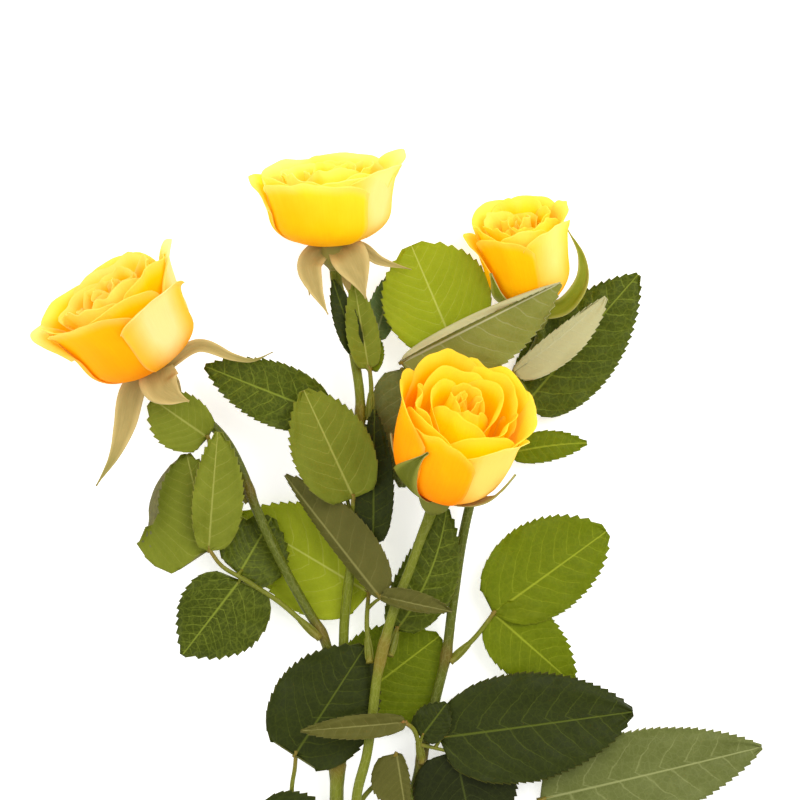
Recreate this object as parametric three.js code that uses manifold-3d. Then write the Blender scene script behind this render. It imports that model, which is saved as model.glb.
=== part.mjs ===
// A cut spray rose lying on a flat surface: one branching stem with four yellow blooms at different
// stages of opening, and fifteen compound leaves. Millimetres, +Z up, the stem runs along +Y, the cut
// end is at the low-Y end and the blooms are at the high-Y end. The origin is under the middle of the
// whole spray, on the surface it lies on.
import * as THREE from 'three';
import { mergeVertices } from 'three/addons/utils/BufferGeometryUtils.js';
import Module from 'manifold-3d';

const wasm = await Module();
wasm.setup();

// ---- Driving dimensions (mm) ----
const CLEARANCE = 0.35;          // air between two pieces that meet
const MAIN_STEM_RADIUS = 2.35;
const SHOOT_RADIUS = 1.5;
const PETIOLE_RADIUS = 0.9;
const CUT_STEM_LENGTH = 190;     // from the plant's own zero line down to the cut end
const CUT_SLOPE = 35;            // degrees, the slanted cut of the main stem's end
const LEAF_THICKNESS = 0.8;
const PETAL_THICKNESS = 0.9;
const PETAL_GAP = 0.6;           // air between one whorl of petals and the next
const HEART_GAP = 0.15;          // further air between the inner whorl and the heart
const SEPAL_THICKNESS = 0.8;
const SEPAL_SPREAD = 32;         // degrees, half the turn that a sepal's foot may cover
const SEPAL_FOOT = 1.4;          // how deep a sepal that hugs the cup is rooted in the hip
const HIP_RADIUS = 4.6;
const HIP_HEIGHT = 8;
const NECK_LENGTH = 3.5;         // straight end of the shoot under the hip
const RECEPTACLE_RADIUS = 3.2;   // where the petals spring from
const PETALS_PER_WHORL = 4;
const PETAL_SPREAD = 41;         // degrees, half the turn that one outer petal covers
const WHORL_NAMES = ['outer', 'inner'];

// ---- Finishes ----
const finish = (color, roughness) => new THREE.MeshStandardMaterial({ color, roughness, metalness: 0 });
const STEM_GREEN = finish('#8a9433', 0.5);
const HIP_GREEN = finish('#71712f', 0.55);
const LEAF_GREEN = finish('#5f7324', 0.45);
const LEAF_DARK = finish('#364007', 0.45);
const LEAF_LIGHT = finish('#8c9a3a', 0.45);

const at = (x, y, z) => new THREE.Vector3(x, y, z);
const UP = at(0, 0, 1);
const degrees = (angle) => THREE.MathUtils.degToRad(angle);

// ---- Building closed solids ----

/** Positions only, with shared corners merged, so that the solid is one closed body. */
function welded(geometry) {
  geometry.deleteAttribute('normal');
  geometry.deleteAttribute('uv');
  return mergeVertices(geometry, 1e-4);
}

function solidOf(geometry) {
  const shell = welded(geometry);
  return new wasm.Manifold(new wasm.Mesh({
    numProp: 3,
    vertProperties: new Float32Array(shell.attributes.position.array),
    triVerts: new Uint32Array(shell.index.array),
  }));
}

function geometryOf(solid) {
  const mesh = solid.getMesh();
  const geometry = new THREE.BufferGeometry();
  geometry.setAttribute('position', new THREE.Float32BufferAttribute(mesh.vertProperties, 3));
  geometry.setIndex(new THREE.Uint32BufferAttribute(mesh.triVerts, 1));
  return geometry;
}

/** One body made of several that run into each other. */
function joined(geometries) {
  const solids = geometries.map(solidOf);
  return geometryOf(solids.reduce((whole, piece) => whole.add(piece)));
}

/** A sheet point(u, v), u and v from 0 to 1, thickened by half the thickness to each side. */
function thickSheet(point, rows, columns, thickness) {
  const step = 1e-3;
  const positions = [];
  const across = columns + 1;
  for (const side of [1, -1]) {
    for (let row = 0; row <= rows; row += 1) {
      for (let column = 0; column <= columns; column += 1) {
        const u = row / rows;
        const v = column / columns;
        const alongU = point(Math.min(u + step, 1), v).sub(point(Math.max(u - step, 0), v));
        const alongV = point(u, Math.min(v + step, 1)).sub(point(u, Math.max(v - step, 0)));
        const normal = alongU.cross(alongV).normalize();
        positions.push(...point(u, v).addScaledVector(normal, side * thickness / 2).toArray());
      }
    }
  }
  const back = (rows + 1) * across;
  const faces = [];
  const quad = (a, b, c, d) => faces.push(a, b, c, a, c, d);
  for (let row = 0; row < rows; row += 1) {
    for (let column = 0; column < columns; column += 1) {
      const corner = row * across + column;
      quad(corner, corner + across, corner + across + 1, corner + 1);
      quad(back + corner, back + corner + 1, back + corner + across + 1, back + corner + across);
    }
  }
  const rim = [];
  for (let column = 0; column < columns; column += 1) rim.push(column);
  for (let row = 0; row < rows; row += 1) rim.push(row * across + columns);
  for (let column = columns; column > 0; column -= 1) rim.push(rows * across + column);
  for (let row = rows; row > 0; row -= 1) rim.push(row * across);
  rim.forEach((corner, index) => {
    const next = rim[(index + 1) % rim.length];
    quad(corner, next, back + next, back + corner);
  });
  const geometry = new THREE.BufferGeometry();
  geometry.setAttribute('position', new THREE.Float32BufferAttribute(positions, 3));
  geometry.setIndex(faces);
  return geometry;
}

/** A round stalk of one radius along a smooth curve through the given points. */
function stalk(points, radius, sides, steps) {
  const section = new THREE.Shape();
  for (let side = 0; side < sides; side += 1) {
    const turn = (side / sides) * Math.PI * 2;
    const [x, y] = [radius * Math.cos(turn), radius * Math.sin(turn)];
    if (side === 0) section.moveTo(x, y);
    else section.lineTo(x, y);
  }
  section.closePath();
  const path = new THREE.CatmullRomCurve3(points, false, 'centripetal');
  return new THREE.ExtrudeGeometry(section, { steps, extrudePath: path, bevelEnabled: false });
}

// ---- Leaflets and sepals: one blade on a midrib from base to tip ----

const BASE_POWER = 0.5;          // how round the blade is at its base
const TIP_POWER = 0.8;           // how slowly it narrows towards its tip
const WIDEST = BASE_POWER / (BASE_POWER + TIP_POWER);
const FULL = WIDEST ** BASE_POWER * (1 - WIDEST) ** TIP_POWER;
const NARROWEST = 0.07;          // share of the half width that is left at base and tip

/**
 * A blade from base to tip. halves are the widths left and right of the midrib, fold the angles by
 * which they rise, roll turns the whole blade about its midrib, arch lifts the middle of the midrib
 * and sweep carries it sideways, both as shares of the length.
 */
function blade(shape, thickness, rows, columns) {
  const { base, tip, halves, fold = [8, 8], roll = 0, arch = 0.06, sweep = 0 } = shape;
  const along = tip.clone().sub(base);
  const length = along.length();
  along.normalize();
  const upward = UP.clone().addScaledVector(along, -UP.dot(along)).normalize();
  upward.applyAxisAngle(along, degrees(roll));
  const right = along.clone().cross(upward);
  const point = (u, v) => {
    const bow = 4 * u * (1 - u) * length;
    const outline = (u ** BASE_POWER * (1 - u) ** TIP_POWER) / FULL;
    const side = v < 0.5 ? 0 : 1;
    const reach = Math.max(outline, NARROWEST) * halves[side] * Math.abs(2 * v - 1);
    const rise = degrees(fold[side]);
    return base.clone()
      .addScaledVector(along, u * length)
      .addScaledVector(upward, arch * bow + reach * Math.sin(rise))
      .addScaledVector(right, sweep * bow + (side === 0 ? -reach : reach) * Math.cos(rise));
  };
  return thickSheet((u, v) => point(u, 1 - v), rows, columns, thickness);
}

// ---- The branching stem ----

// Where the cut end, the shoots' forks and the blooms are, in the plant's own axes.
const MAIN_TOP = at(-19.8, 8, 8);
const PAIR_OFFSET = SHOOT_RADIUS + CLEARANCE / 2;
const SIDE_START = MAIN_STEM_RADIUS + SHOOT_RADIUS + CLEARANCE;

const mainStemPoints = [
  at(-8, -CUT_STEM_LENGTH, MAIN_STEM_RADIUS),
  at(-13, -150, 3.4),
  at(-17, -100, 5),
  at(-19.4, -55, 6.6),
  at(-20.2, -22, 7.6),
  MAIN_TOP,
];

// ---- The blooms ----

/**
 * Each bloom stands on its receptacle, faces out along its axis (lean is the turn to the right of +Y,
 * tilt the angle above the surface) and has a cup of the given height, belly and rim.
 * hugging sepals lie against the cup: turn is 0 where the cup faces up and 90 on its right.
 * open sepals are blades of their own.
 */
const blooms = [
  {
    name: 'front_rose', lean: 18, tilt: 38, receptacle: at(11.8, 95.5, 23.4),
    height: 38.6, belly: 18.6, rim: 20.2, petals: finish('#fbb514', 0.55), heart: finish('#f9a806', 0.6),
    hugging: [
      { turn: -28, length: 0.52, width: 5 },
      { turn: 66, length: 0.62, width: 4.5 },
      { turn: 132, length: 0.5, width: 4.5 },
      { turn: 186, length: 0.5, width: 4.5 },
      { turn: -100, length: 0.45, width: 4.5 },
    ],
    open: [],
    shootStart: MAIN_TOP.clone().add(at(SIDE_START - 0.3, -30, 0.4)),
    shoot: [at(-14.6, -12, 11), at(-13.3, 1.5, 14.6), at(-10.5, 12.4, 16.2), at(-8.7, 24.8, 17.4),
      at(-7.2, 37, 18.2), at(-4.3, 50.5, 18.6), at(-0.6, 62, 18.6), at(2.8, 70.5, 18.2), at(6.6, 81, 17.6)],
  },
  {
    name: 'top_rose', lean: -4, tilt: 15, receptacle: at(-20.8, 172.7, 17.3),
    height: 25.6, belly: 19.4, rim: 22.8, petals: finish('#fef065', 0.55), heart: finish('#fdf05c', 0.6),
    hugging: [],
    open: [
      { base: at(-24.4, 170.6, 19.6), tip: at(-22.8, 154, 22.5), halves: [3.4, 3.4], sweep: 0.22 },
      { base: at(-18.6, 170.9, 21), tip: at(-9.4, 157, 23), halves: [5, 5], arch: 0.12 },
      { base: at(-16.6, 171, 18.6), tip: at(3.4, 165.6, 17.6), halves: [2, 2], arch: -0.04 },
      { base: at(-24, 170.8, 14.6), tip: at(-28.5, 157, 7), halves: [3.4, 3.4], roll: 180, arch: 0.05 },
      { base: at(-18, 170.8, 13.6), tip: at(-15.2, 155, 6), halves: [3.4, 3.4], roll: 180, arch: 0.05 },
    ],
    shootStart: MAIN_TOP.clone().add(at(PAIR_OFFSET, CLEARANCE, 0)),
    shoot: [at(-17.4, 22, 9.4), at(-17.6, 38, 10.6), at(-17.6, 52, 12), at(-16.6, 63, 13.2),
      at(-15, 75, 14), at(-13.6, 88, 14.2), at(-12.9, 106, 14.2), at(-12.5, 124, 14.2),
      at(-14.6, 139, 13.8), at(-17.6, 153, 14)],
  },
  {
    name: 'left_rose', lean: -33, tilt: 20, receptacle: at(-76.4, 134.4, 16.2),
    height: 33, belly: 19.6, rim: 24.4, petals: finish('#fed22c', 0.55), heart: finish('#fdc21e', 0.6),
    hugging: [{ turn: -128, length: 0.8, width: 5 }],
    open: [
      { base: at(-79, 131.4, 15.6), tip: at(-95, 97.6, 12), halves: [4.2, 4.2], sweep: 0.08 },
      { base: at(-75.2, 131.6, 18.4), tip: at(-67.2, 124.4, 23), halves: [6, 6], arch: 0.1 },
      { base: at(-73, 133.6, 18), tip: at(-39.7, 136, 18.6), halves: [2, 2], sweep: -0.02 },
      { base: at(-74.4, 132.6, 12), tip: at(-68, 122, 3.8), halves: [3.4, 3.4], roll: 180, arch: 0.05 },
    ],
    shootStart: MAIN_TOP.clone().add(at(-PAIR_OFFSET, CLEARANCE, 0)),
    shoot: [at(-21.8, 20, 9.6), at(-21.6, 36, 10.8), at(-23.4, 48, 12), at(-29, 58, 12.6),
      at(-35.4, 69.5, 13), at(-40.6, 80, 13.2), at(-45.6, 91, 13), at(-49.8, 102, 11.2),
      at(-55, 111.5, 9.4), at(-61.4, 118, 9.2)],
  },
  {
    name: 'right_rose', lean: -12, tilt: 25, receptacle: at(42.2, 153.8, 10.4),
    height: 31, belly: 12.6, rim: 14.8, petals: finish('#fede3e', 0.55), heart: finish('#fccb0c', 0.6),
    hugging: [
      { turn: -62, length: 0.55, width: 4.5 },
      { turn: -135, length: 0.5, width: 4 },
      { turn: 145, length: 0.5, width: 4 },
    ],
    open: [{ base: at(44.6, 152.4, 9.8), tip: at(55.2, 175.4, 13), halves: [3, 3], sweep: 0.28 }],
    shootStart: MAIN_TOP.clone().add(at(SIDE_START - 0.2, -46, -0.6)),
    shoot: [at(-10.5, -25, 7.4), at(-2.6, -11, 7.8), at(4.2, 1, 8), at(7.2, 13, 8.3), at(11.2, 29.8, 8.8),
      at(14.6, 44, 9.3), at(16.4, 58.3, 9.6), at(20.4, 84, 9.2), at(26.6, 107, 8.5), at(35.6, 129, 7)],
  },
];

/** The bloom's own axes: X faces up from the surface, Y is to its right, Z is the way it faces. */
function bloomFrame({ lean, tilt, receptacle }) {
  const [turn, rise] = [degrees(lean), degrees(tilt)];
  const axis = at(Math.sin(turn) * Math.cos(rise), Math.cos(turn) * Math.cos(rise), Math.sin(rise));
  const facing = UP.clone().addScaledVector(axis, -UP.dot(axis)).normalize();
  const right = axis.clone().cross(facing);
  return new THREE.Matrix4().makeBasis(facing, right, axis).setPosition(receptacle);
}

/** The cup's outline from receptacle to rim, as radius and height. */
function cupOutline({ height, belly, rim }) {
  return new THREE.SplineCurve([
    new THREE.Vector2(RECEPTACLE_RADIUS, 0.9),
    new THREE.Vector2(0.62 * belly, 0.1 * height),
    new THREE.Vector2(0.93 * belly, 0.28 * height),
    new THREE.Vector2(belly, 0.52 * height),
    new THREE.Vector2((belly + rim) / 2, 0.8 * height),
    new THREE.Vector2(rim, height),
  ]);
}

/** A point of the cup's outline, moved inwards (or outwards, if negative) square to the outline. */
function cupPoint(outline, share, inset) {
  const point = outline.getPointAt(share);
  const tangent = outline.getTangentAt(share);
  return new THREE.Vector2(point.x - tangent.y * inset, point.y + tangent.x * inset);
}

/** Part of the cup around the given turn, spread(u) degrees to each side. foot lowers its base. */
function cupSheet(bloom, { turn, inset, share, spread, foot = 0, rows, columns, thickness }) {
  const outline = cupOutline(bloom);
  const point = (u, v) => {
    const { x: radius, y: height } = cupPoint(outline, u * share, inset);
    const angle = degrees(turn + (2 * v - 1) * spread(u, radius));
    return at(radius * Math.cos(angle), radius * Math.sin(angle), height - foot * Math.max(0, 1 - 5 * u));
  };
  return thickSheet((u, v) => point(u, 1 - v), rows, columns, thickness);
}

const WHORL_STEP = PETAL_THICKNESS + PETAL_GAP;

function petal(bloom, whorl, index) {
  const rounding = (u) => 1 - 0.72 * Math.max(0, (u - 0.55) / 0.45) ** 2.4;
  return cupSheet(bloom, {
    turn: (index + whorl / 2) * (360 / PETALS_PER_WHORL),
    inset: whorl * WHORL_STEP,
    share: 1 - 0.03 * whorl,
    spread: (u) => PETAL_SPREAD * rounding(u),
    rows: 4,
    columns: 4,
    thickness: PETAL_THICKNESS,
  });
}

/** The petals that are still rolled together in the middle of the cup. */
function heart(bloom) {
  const outline = cupOutline(bloom);
  const inset = WHORL_NAMES.length * WHORL_STEP + HEART_GAP;
  const wall = [0.04, 0.2, 0.38, 0.56, 0.74, 0.9].map((share) => cupPoint(outline, share, inset));
  const top = wall[wall.length - 1];
  const profile = [
    new THREE.Vector2(0, wall[0].y),
    ...wall,
    new THREE.Vector2(top.x * 0.72, top.y + 0.04 * bloom.height),
    new THREE.Vector2(top.x * 0.3, top.y - 0.02 * bloom.height),
    new THREE.Vector2(0, top.y - 0.06 * bloom.height),
  ];
  return welded(new THREE.LatheGeometry(profile, 12));
}

/** The green hip under the petals with its five sepals, which grow from it as one piece. */
function calyx(bloom) {
  const frame = bloomFrame(bloom);
  const hip = new THREE.LatheGeometry([
    new THREE.Vector2(0, -HIP_HEIGHT),
    new THREE.Vector2(0.42 * HIP_RADIUS, -HIP_HEIGHT),
    new THREE.Vector2(0.8 * HIP_RADIUS, -0.72 * HIP_HEIGHT),
    new THREE.Vector2(HIP_RADIUS, -0.4 * HIP_HEIGHT),
    new THREE.Vector2(HIP_RADIUS, -0.12 * HIP_HEIGHT),
    new THREE.Vector2(0, -0.04 * HIP_HEIGHT),
  ], 10).rotateX(Math.PI / 2).applyMatrix4(frame);
  const outside = -(PETAL_THICKNESS / 2 + SEPAL_THICKNESS / 2 + PETAL_GAP);
  const hugging = bloom.hugging.map(({ turn, length, width }) => cupSheet(bloom, {
    turn,
    inset: outside,
    share: length,
    spread: (u, radius) => Math.min(
      SEPAL_SPREAD,
      THREE.MathUtils.radToDeg((width / radius) * Math.max(1 - u ** 1.6, NARROWEST)),
    ),
    foot: SEPAL_FOOT,
    rows: 5,
    columns: 2,
    thickness: SEPAL_THICKNESS,
  }).applyMatrix4(frame));
  const open = bloom.open.map((sepal) => blade(sepal, SEPAL_THICKNESS, 5, 2));
  return joined([hip, ...hugging, ...open]);
}

/** A bloom's shoot, from its fork to just under the hip. */
function shoot(bloom) {
  const frame = bloomFrame(bloom);
  const end = at(0, 0, -HIP_HEIGHT - CLEARANCE).applyMatrix4(frame);
  const neck = at(0, 0, -HIP_HEIGHT - NECK_LENGTH).applyMatrix4(frame);
  return welded(stalk([bloom.shootStart, ...bloom.shoot, neck, end], SHOOT_RADIUS, 6, 20));
}

/** The thick stem below the forks, cut on the slant at its lower end. */
function mainStem() {
  const stem = solidOf(stalk(mainStemPoints, MAIN_STEM_RADIUS, 8, 16));
  const waste = new THREE.BoxGeometry(60, 40, 60);
  waste.translate(0, -20, 0).rotateX(degrees(-CUT_SLOPE));
  waste.translate(mainStemPoints[0].x, mainStemPoints[0].y + 2 * MAIN_STEM_RADIUS, mainStemPoints[0].z);
  return geometryOf(stem.subtract(solidOf(waste)));
}

// ---- The compound leaves: stalks and the leaflets on them, each leaf one piece ----

/** Where a leaf's stalk starts beside its shoot: from a point of the shoot's middle, outwards. */
function seat(middle, outward) {
  return middle.addScaledVector(outward.normalize(), SHOOT_RADIUS + PETIOLE_RADIUS + CLEARANCE);
}

const leaves = [
  {
    name: 'leaf_low_left', colour: LEAF_GREEN,
    stalks: [[seat(at(-25, 51, 12.3), at(-1.6, -0.2, 1.8)), at(-37, 60, 14.8), at(-48.5, 67.5, 14), at(-56, 72, 13.6), at(-60, 77.4, 13.8)],
      [at(-50, 68.4, 13.9), at(-50.6, 66.4, 12.6)], [at(-51, 69, 13.8), at(-49.6, 70.6, 12)]],
    leaflets: [
      { base: at(-60, 76.9, 14.1), tip: at(-57, 113, 18), halves: [6.4, 9.6], fold: [26, 10], arch: 0.05 },
      { base: at(-60, 76.9, 13.6), tip: at(-70.4, 104.4, 11), halves: [18, 8], fold: [-4, -4] },
      { base: at(-50.4, 67.2, 13), tip: at(-62, 47.5, 6.4), halves: [13, 14.5], fold: [4, 4] },
      { base: at(-50.4, 69.6, 12.4), tip: at(-41.5, 86.5, 8), halves: [10, 11], fold: [0, -2], arch: -0.04 },
    ],
  },
  {
    name: 'leaf_high_left', colour: LEAF_LIGHT,
    stalks: [[seat(at(-46.6, 94, 12.5), at(-2.3, -0.2, -0.9)), at(-53.4, 99.4, 11.6), at(-58.4, 106, 12), at(-60.4, 113, 13.4)]],
    leaflets: [{ base: at(-60.4, 112.4, 13.3), tip: at(-76.8, 123.6, 15.2), halves: [9.4, 7.6], fold: [0, 14], arch: 0.09 }],
  },
  {
    name: 'leaf_centre', colour: LEAF_GREEN,
    stalks: [[at(-14.6, 77, 17), at(-14.8, 87.5, 17.1), at(-14.6, 94.6, 20.6)],
      [at(-14.8, 86, 17.2), at(-18, 99, 16.6), at(-21, 111, 15.6), at(-23, 120.6, 14.8)],
      [at(-14.7, 78.6, 17), at(-11, 78.4, 16.8), at(-8.2, 80, 16.8)]],
    leaflets: [
      { base: at(-14.6, 93.6, 20.4), tip: at(-30, 127, 20), halves: [13, 12.4], fold: [6, 4] },
      { base: at(-22.8, 119.4, 14.8), tip: at(-61.2, 134.6, 12.4), halves: [10, 10], fold: [6, 6] },
      { base: at(-8.4, 79, 16.8), tip: at(-8, 121, 17.6), halves: [6.2, 6.4], fold: [6, 6], arch: 0.02 },
    ],
  },
  {
    name: 'leaf_fork_left', colour: LEAF_LIGHT,
    stalks: [[at(-9.6, 44, 17.2), at(-10.4, 54, 14.6), at(-9.8, 64, 10.8)],
      [at(-10.2, 58.5, 13), at(-7.6, 61, 17), at(-5.6, 62.4, 19.6)], [at(-5.8, 62.2, 19.4), at(-4.4, 62.9, 20.8)]],
    leaflets: [
      { base: at(-9.8, 63.4, 10.8), tip: at(-50.8, 87.7, 4.4), halves: [17, 17], fold: [3, 3], arch: -0.02 },
      { base: at(-6, 62.2, 19.6), tip: at(-36, 100.4, 16.6), halves: [3.4, 10.6], fold: [-40, 4], arch: 0.02 },
      { base: at(-4.8, 62.6, 20.6), tip: at(15.8, 58, 20.6), halves: [3.2, 2.6], fold: [30, 20], arch: 0.13 },
    ],
  },
  {
    name: 'leaf_fork_right', colour: LEAF_DARK,
    stalks: [[at(-2.6, 46, 16), at(-1.6, 49.6, 15), at(-0.8, 53, 14.4)]],
    leaflets: [{ base: at(-1, 52, 14.4), tip: at(14.6, 90, 14), halves: [9.4, 9.4], fold: [0, 0], arch: 0, sweep: 0.07 }],
  },
  {
    name: 'leaf_behind_fork', colour: LEAF_LIGHT,
    stalks: [[at(-15.6, 24, 7.6), at(-14.8, 27, 6.4), at(-14, 30, 6)]],
    leaflets: [{ base: at(-14.4, 29, 6), tip: at(12.4, 49.6, 6), halves: [16, 17], fold: [0, 0], arch: 0 }],
  },
  {
    name: 'leaf_fork_low', colour: LEAF_DARK,
    stalks: [[at(-24, -24, 7.6), at(-30, -12, 8), at(-34, 0, 9.6), at(-33, 8.7, 11.6), at(-32.6, 14, 13.6)]],
    leaflets: [{ base: at(-33, 12.6, 13.6), tip: at(-11, 46.6, 14.4), halves: [17, 16.4], fold: [4, 0], arch: 0.02 }],
  },
  {
    name: 'leaf_low_right', colour: LEAF_DARK,
    stalks: [[at(6.6, 12, 11.1), at(5.9, 16, 13.8), at(4.2, 21, 17.4), at(0.6, 23.8, 20.6)],
      [at(5.9, 16, 13.6), at(11.6, 14.6, 12.8), at(17.8, 13, 12)], [at(5.9, 16, 13.8), at(7.4, 19.6, 14.8)],
      [at(11, 14.8, 12.8), at(13.2, 18.4, 12.8)]],
    leaflets: [
      { base: at(1.6, 23.4, 20.4), tip: at(-31, 20.8, 21.4), halves: [4.4, 4], fold: [24, 20], arch: 0.03 },
      { base: at(6.8, 18.6, 14.8), tip: at(14.6, 29, 14.8), halves: [6, 6], fold: [4, 4] },
      { base: at(12.6, 18, 12.8), tip: at(73.2, 26, 10.4), halves: [17, 17.6], fold: [0, 4], arch: 0.02 },
      { base: at(17.4, 13.4, 12), tip: at(24, -17, 5.4), halves: [17, 16], fold: [-4, -4], arch: 0.04 },
    ],
  },
  {
    name: 'leaf_bottom_right', colour: LEAF_LIGHT,
    stalks: [[at(-3.2, -19, 5.2), at(10, -16, 3.8), at(30, -9, 3.6), at(46, -1.6, 4.4)]],
    leaflets: [{ base: at(44.6, -2, 4.4), tip: at(114.4, 14.3, 2.2), halves: [15, 15], fold: [6, 6], arch: 0.03 }],
  },
  {
    name: 'leaf_bottom_middle', colour: LEAF_GREEN,
    stalks: [[at(-16, -8.6, 8.4), at(-11, -0.5, 8.8), at(-4.6, 6.5, 10.6), at(-1, 13.4, 12.2)]],
    leaflets: [{ base: at(-1, 12.8, 12.2), tip: at(1.6, -3.8, 12), halves: [3, 9.4], fold: [10, 0], arch: 0.06 }],
  },
  {
    name: 'leaf_bottom_left', colour: LEAF_DARK,
    stalks: [[at(-24, -36, 7), at(-34, -32, 8), at(-42, -22, 9.6), at(-44.4, -11.4, 11)]],
    leaflets: [{ base: at(-44.4, -12.2, 11), tip: at(-18.6, -9.6, 12), halves: [12.6, 12.6], fold: [0, 0], arch: 0.03 }],
  },
  {
    name: 'leaf_mid_right', colour: LEAF_LIGHT,
    stalks: [[at(17.4, 43.2, 9.2), at(23.9, 49.6, 9), at(30, 57.6, 8.4)]],
    leaflets: [
      { base: at(29.6, 57, 8.4), tip: at(65.2, 82.5, 4.4), halves: [15.4, 15.4], fold: [3, 3], arch: 0.02 },
      { base: at(29.4, 56.8, 8.4), tip: at(55.2, 34, 4.4), halves: [11, 11.6], fold: [3, 3], arch: 0 },
    ],
  },
  {
    name: 'leaf_high_right', colour: LEAF_DARK,
    stalks: [[at(27.6, 100, 6.2), at(33.6, 108, 5.4), at(37.4, 117, 4.9), at(39.4, 123, 4.4)],
      [at(37.6, 117.6, 4.9), at(40.4, 123.4, 8.6), at(38.4, 129, 11.2), at(35.4, 133.2, 11.6)], [at(33, 107, 5.5), at(36, 107.6, 5.8)]],
    leaflets: [
      { base: at(39, 122, 4.4), tip: at(75.3, 163.7, 2.4), halves: [13, 14.6], fold: [-2, 4], arch: 0 },
      { base: at(36, 132.6, 11.6), tip: at(64.4, 156.2, 9.6), halves: [3, 6], fold: [20, 10], sweep: 0.02 },
      { base: at(35.4, 107.4, 5.8), tip: at(59, 110.4, 4.6), halves: [5, 5], fold: [4, 4], sweep: -0.03 },
    ],
  },
  {
    name: 'leaf_high_middle', colour: LEAF_LIGHT,
    stalks: [[at(25.4, 110, 8.6), at(18, 118, 10.4), at(10, 126, 12.4), at(3, 133, 14.4), at(0.4, 136.2, 17.8)],
      [at(10, 126, 12.4), at(14, 135, 12.8), at(16.4, 143, 13.4)], [at(4, 132, 14.2), at(0.4, 134, 13)]],
    leaflets: [
      { base: at(0.6, 133.4, 12.8), tip: at(0.6, 96.6, 12), halves: [10.4, 10], fold: [2, 2], arch: 0 },
      { base: at(16.4, 142.2, 13.4), tip: at(4.6, 171.6, 14.4), halves: [15, 17.4], fold: [3, 12], arch: 0.03 },
      { base: at(0.6, 135.8, 17.6), tip: at(49.6, 160.2, 29), halves: [5, 15.6], fold: [70, -6], arch: 0.03 },
    ],
  },
  {
    name: 'leaf_top', colour: LEAF_GREEN,
    stalks: [[at(-9.5, 120, 15.8), at(-9, 127.4, 16), at(-9.6, 134.8, 16.6)],
      [at(-9.4, 133, 16.4), at(-12, 136.4, 17), at(-14, 139.4, 17.6)], [at(-9.4, 133.6, 16.4), at(-8, 139, 13.4), at(-7.8, 144, 11.4)]],
    leaflets: [
      { base: at(-9.8, 134, 16.8), tip: at(-14.4, 161, 20), halves: [5.6, 5.6], fold: [24, 24], arch: 0.03 },
      { base: at(-13.6, 138.6, 17.6), tip: at(-21, 161.6, 18.4), halves: [4, 4], fold: [10, 10] },
      { base: at(-7.8, 143.2, 11.6), tip: at(-1.4, 165, 8.4), halves: [5, 4.6], fold: [4, 4] },
      { base: at(-9, 133.6, 16), tip: at(-6.6, 143.4, 15), halves: [2.6, 3], fold: [6, 6] },
    ],
  },
];

function leaf({ stalks, leaflets }) {
  return joined([
    ...stalks.map((points) => stalk(points, PETIOLE_RADIUS, 5, points.length + 1)),
    ...leaflets.map((leaflet) => blade(leaflet, LEAF_THICKNESS, 5, 4)),
  ]);
}

// ---- Assembly ----

function named(name, geometry, material) {
  const mesh = new THREE.Mesh(geometry, material);
  mesh.name = name;
  return mesh;
}

const spray = new THREE.Group();
spray.add(named('main_stem', mainStem(), STEM_GREEN));
for (const bloom of blooms) {
  spray.add(named(`${bloom.name}_stem`, shoot(bloom), STEM_GREEN));
  spray.add(named(`${bloom.name}_calyx`, calyx(bloom), HIP_GREEN));
  const cup = new THREE.Group();
  bloomFrame(bloom).decompose(cup.position, cup.quaternion, cup.scale);
  WHORL_NAMES.forEach((whorlName, whorl) => {
    for (let index = 0; index < PETALS_PER_WHORL; index += 1) {
      const name = `${bloom.name}_${whorlName}_petal_${index + 1}`;
      cup.add(named(name, petal(bloom, whorl, index), bloom.petals));
    }
  });
  const middle = named(`${bloom.name}_heart`, heart(bloom), bloom.heart);
  middle.rotation.x = Math.PI / 2;
  cup.add(middle);
  spray.add(cup);
}
for (const piece of leaves) {
  spray.add(named(piece.name, leaf(piece), piece.colour));
}

// The origin goes under the middle of the whole spray, on the surface.
spray.updateMatrixWorld(true);
const bounds = new THREE.Box3().setFromObject(spray, true);
const middle = bounds.getCenter(new THREE.Vector3());
spray.position.set(-middle.x, -middle.y, -bounds.min.z);
spray.updateMatrixWorld(true);

export default spray;
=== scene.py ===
"""A cut spray rose with four yellow blooms, lying on a pale surface.

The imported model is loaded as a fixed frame. Everything here is written in the plant's own axes, in
millimetres: +Y along the stem towards the blooms, +X to its right, +Z up from the surface. The same
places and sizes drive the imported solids, and each piece stands for one of them.
"""
from __future__ import annotations

import logging
import math
from dataclasses import dataclass, field
from enum import Enum
from typing import Any

import bpy
import numpy as np
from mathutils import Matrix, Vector

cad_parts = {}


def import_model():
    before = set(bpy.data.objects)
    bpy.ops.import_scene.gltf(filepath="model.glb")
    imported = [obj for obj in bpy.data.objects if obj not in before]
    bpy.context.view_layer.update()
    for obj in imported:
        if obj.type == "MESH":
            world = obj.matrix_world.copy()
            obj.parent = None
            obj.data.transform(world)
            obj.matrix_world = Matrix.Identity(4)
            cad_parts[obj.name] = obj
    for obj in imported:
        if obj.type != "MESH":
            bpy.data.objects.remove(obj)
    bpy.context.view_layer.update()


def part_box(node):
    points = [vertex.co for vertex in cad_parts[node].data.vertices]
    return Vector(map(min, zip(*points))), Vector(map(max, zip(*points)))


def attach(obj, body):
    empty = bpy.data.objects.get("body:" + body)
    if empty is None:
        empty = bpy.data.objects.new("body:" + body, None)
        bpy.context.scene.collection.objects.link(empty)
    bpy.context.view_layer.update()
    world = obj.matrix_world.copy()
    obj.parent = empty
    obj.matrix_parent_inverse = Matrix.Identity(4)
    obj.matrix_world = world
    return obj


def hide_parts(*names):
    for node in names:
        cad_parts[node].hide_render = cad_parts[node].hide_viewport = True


LOG = logging.getLogger("spray_rose")
Triple = tuple[float, float, float]
Pair = tuple[float, float]
Colour = tuple[float, float, float]

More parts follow.
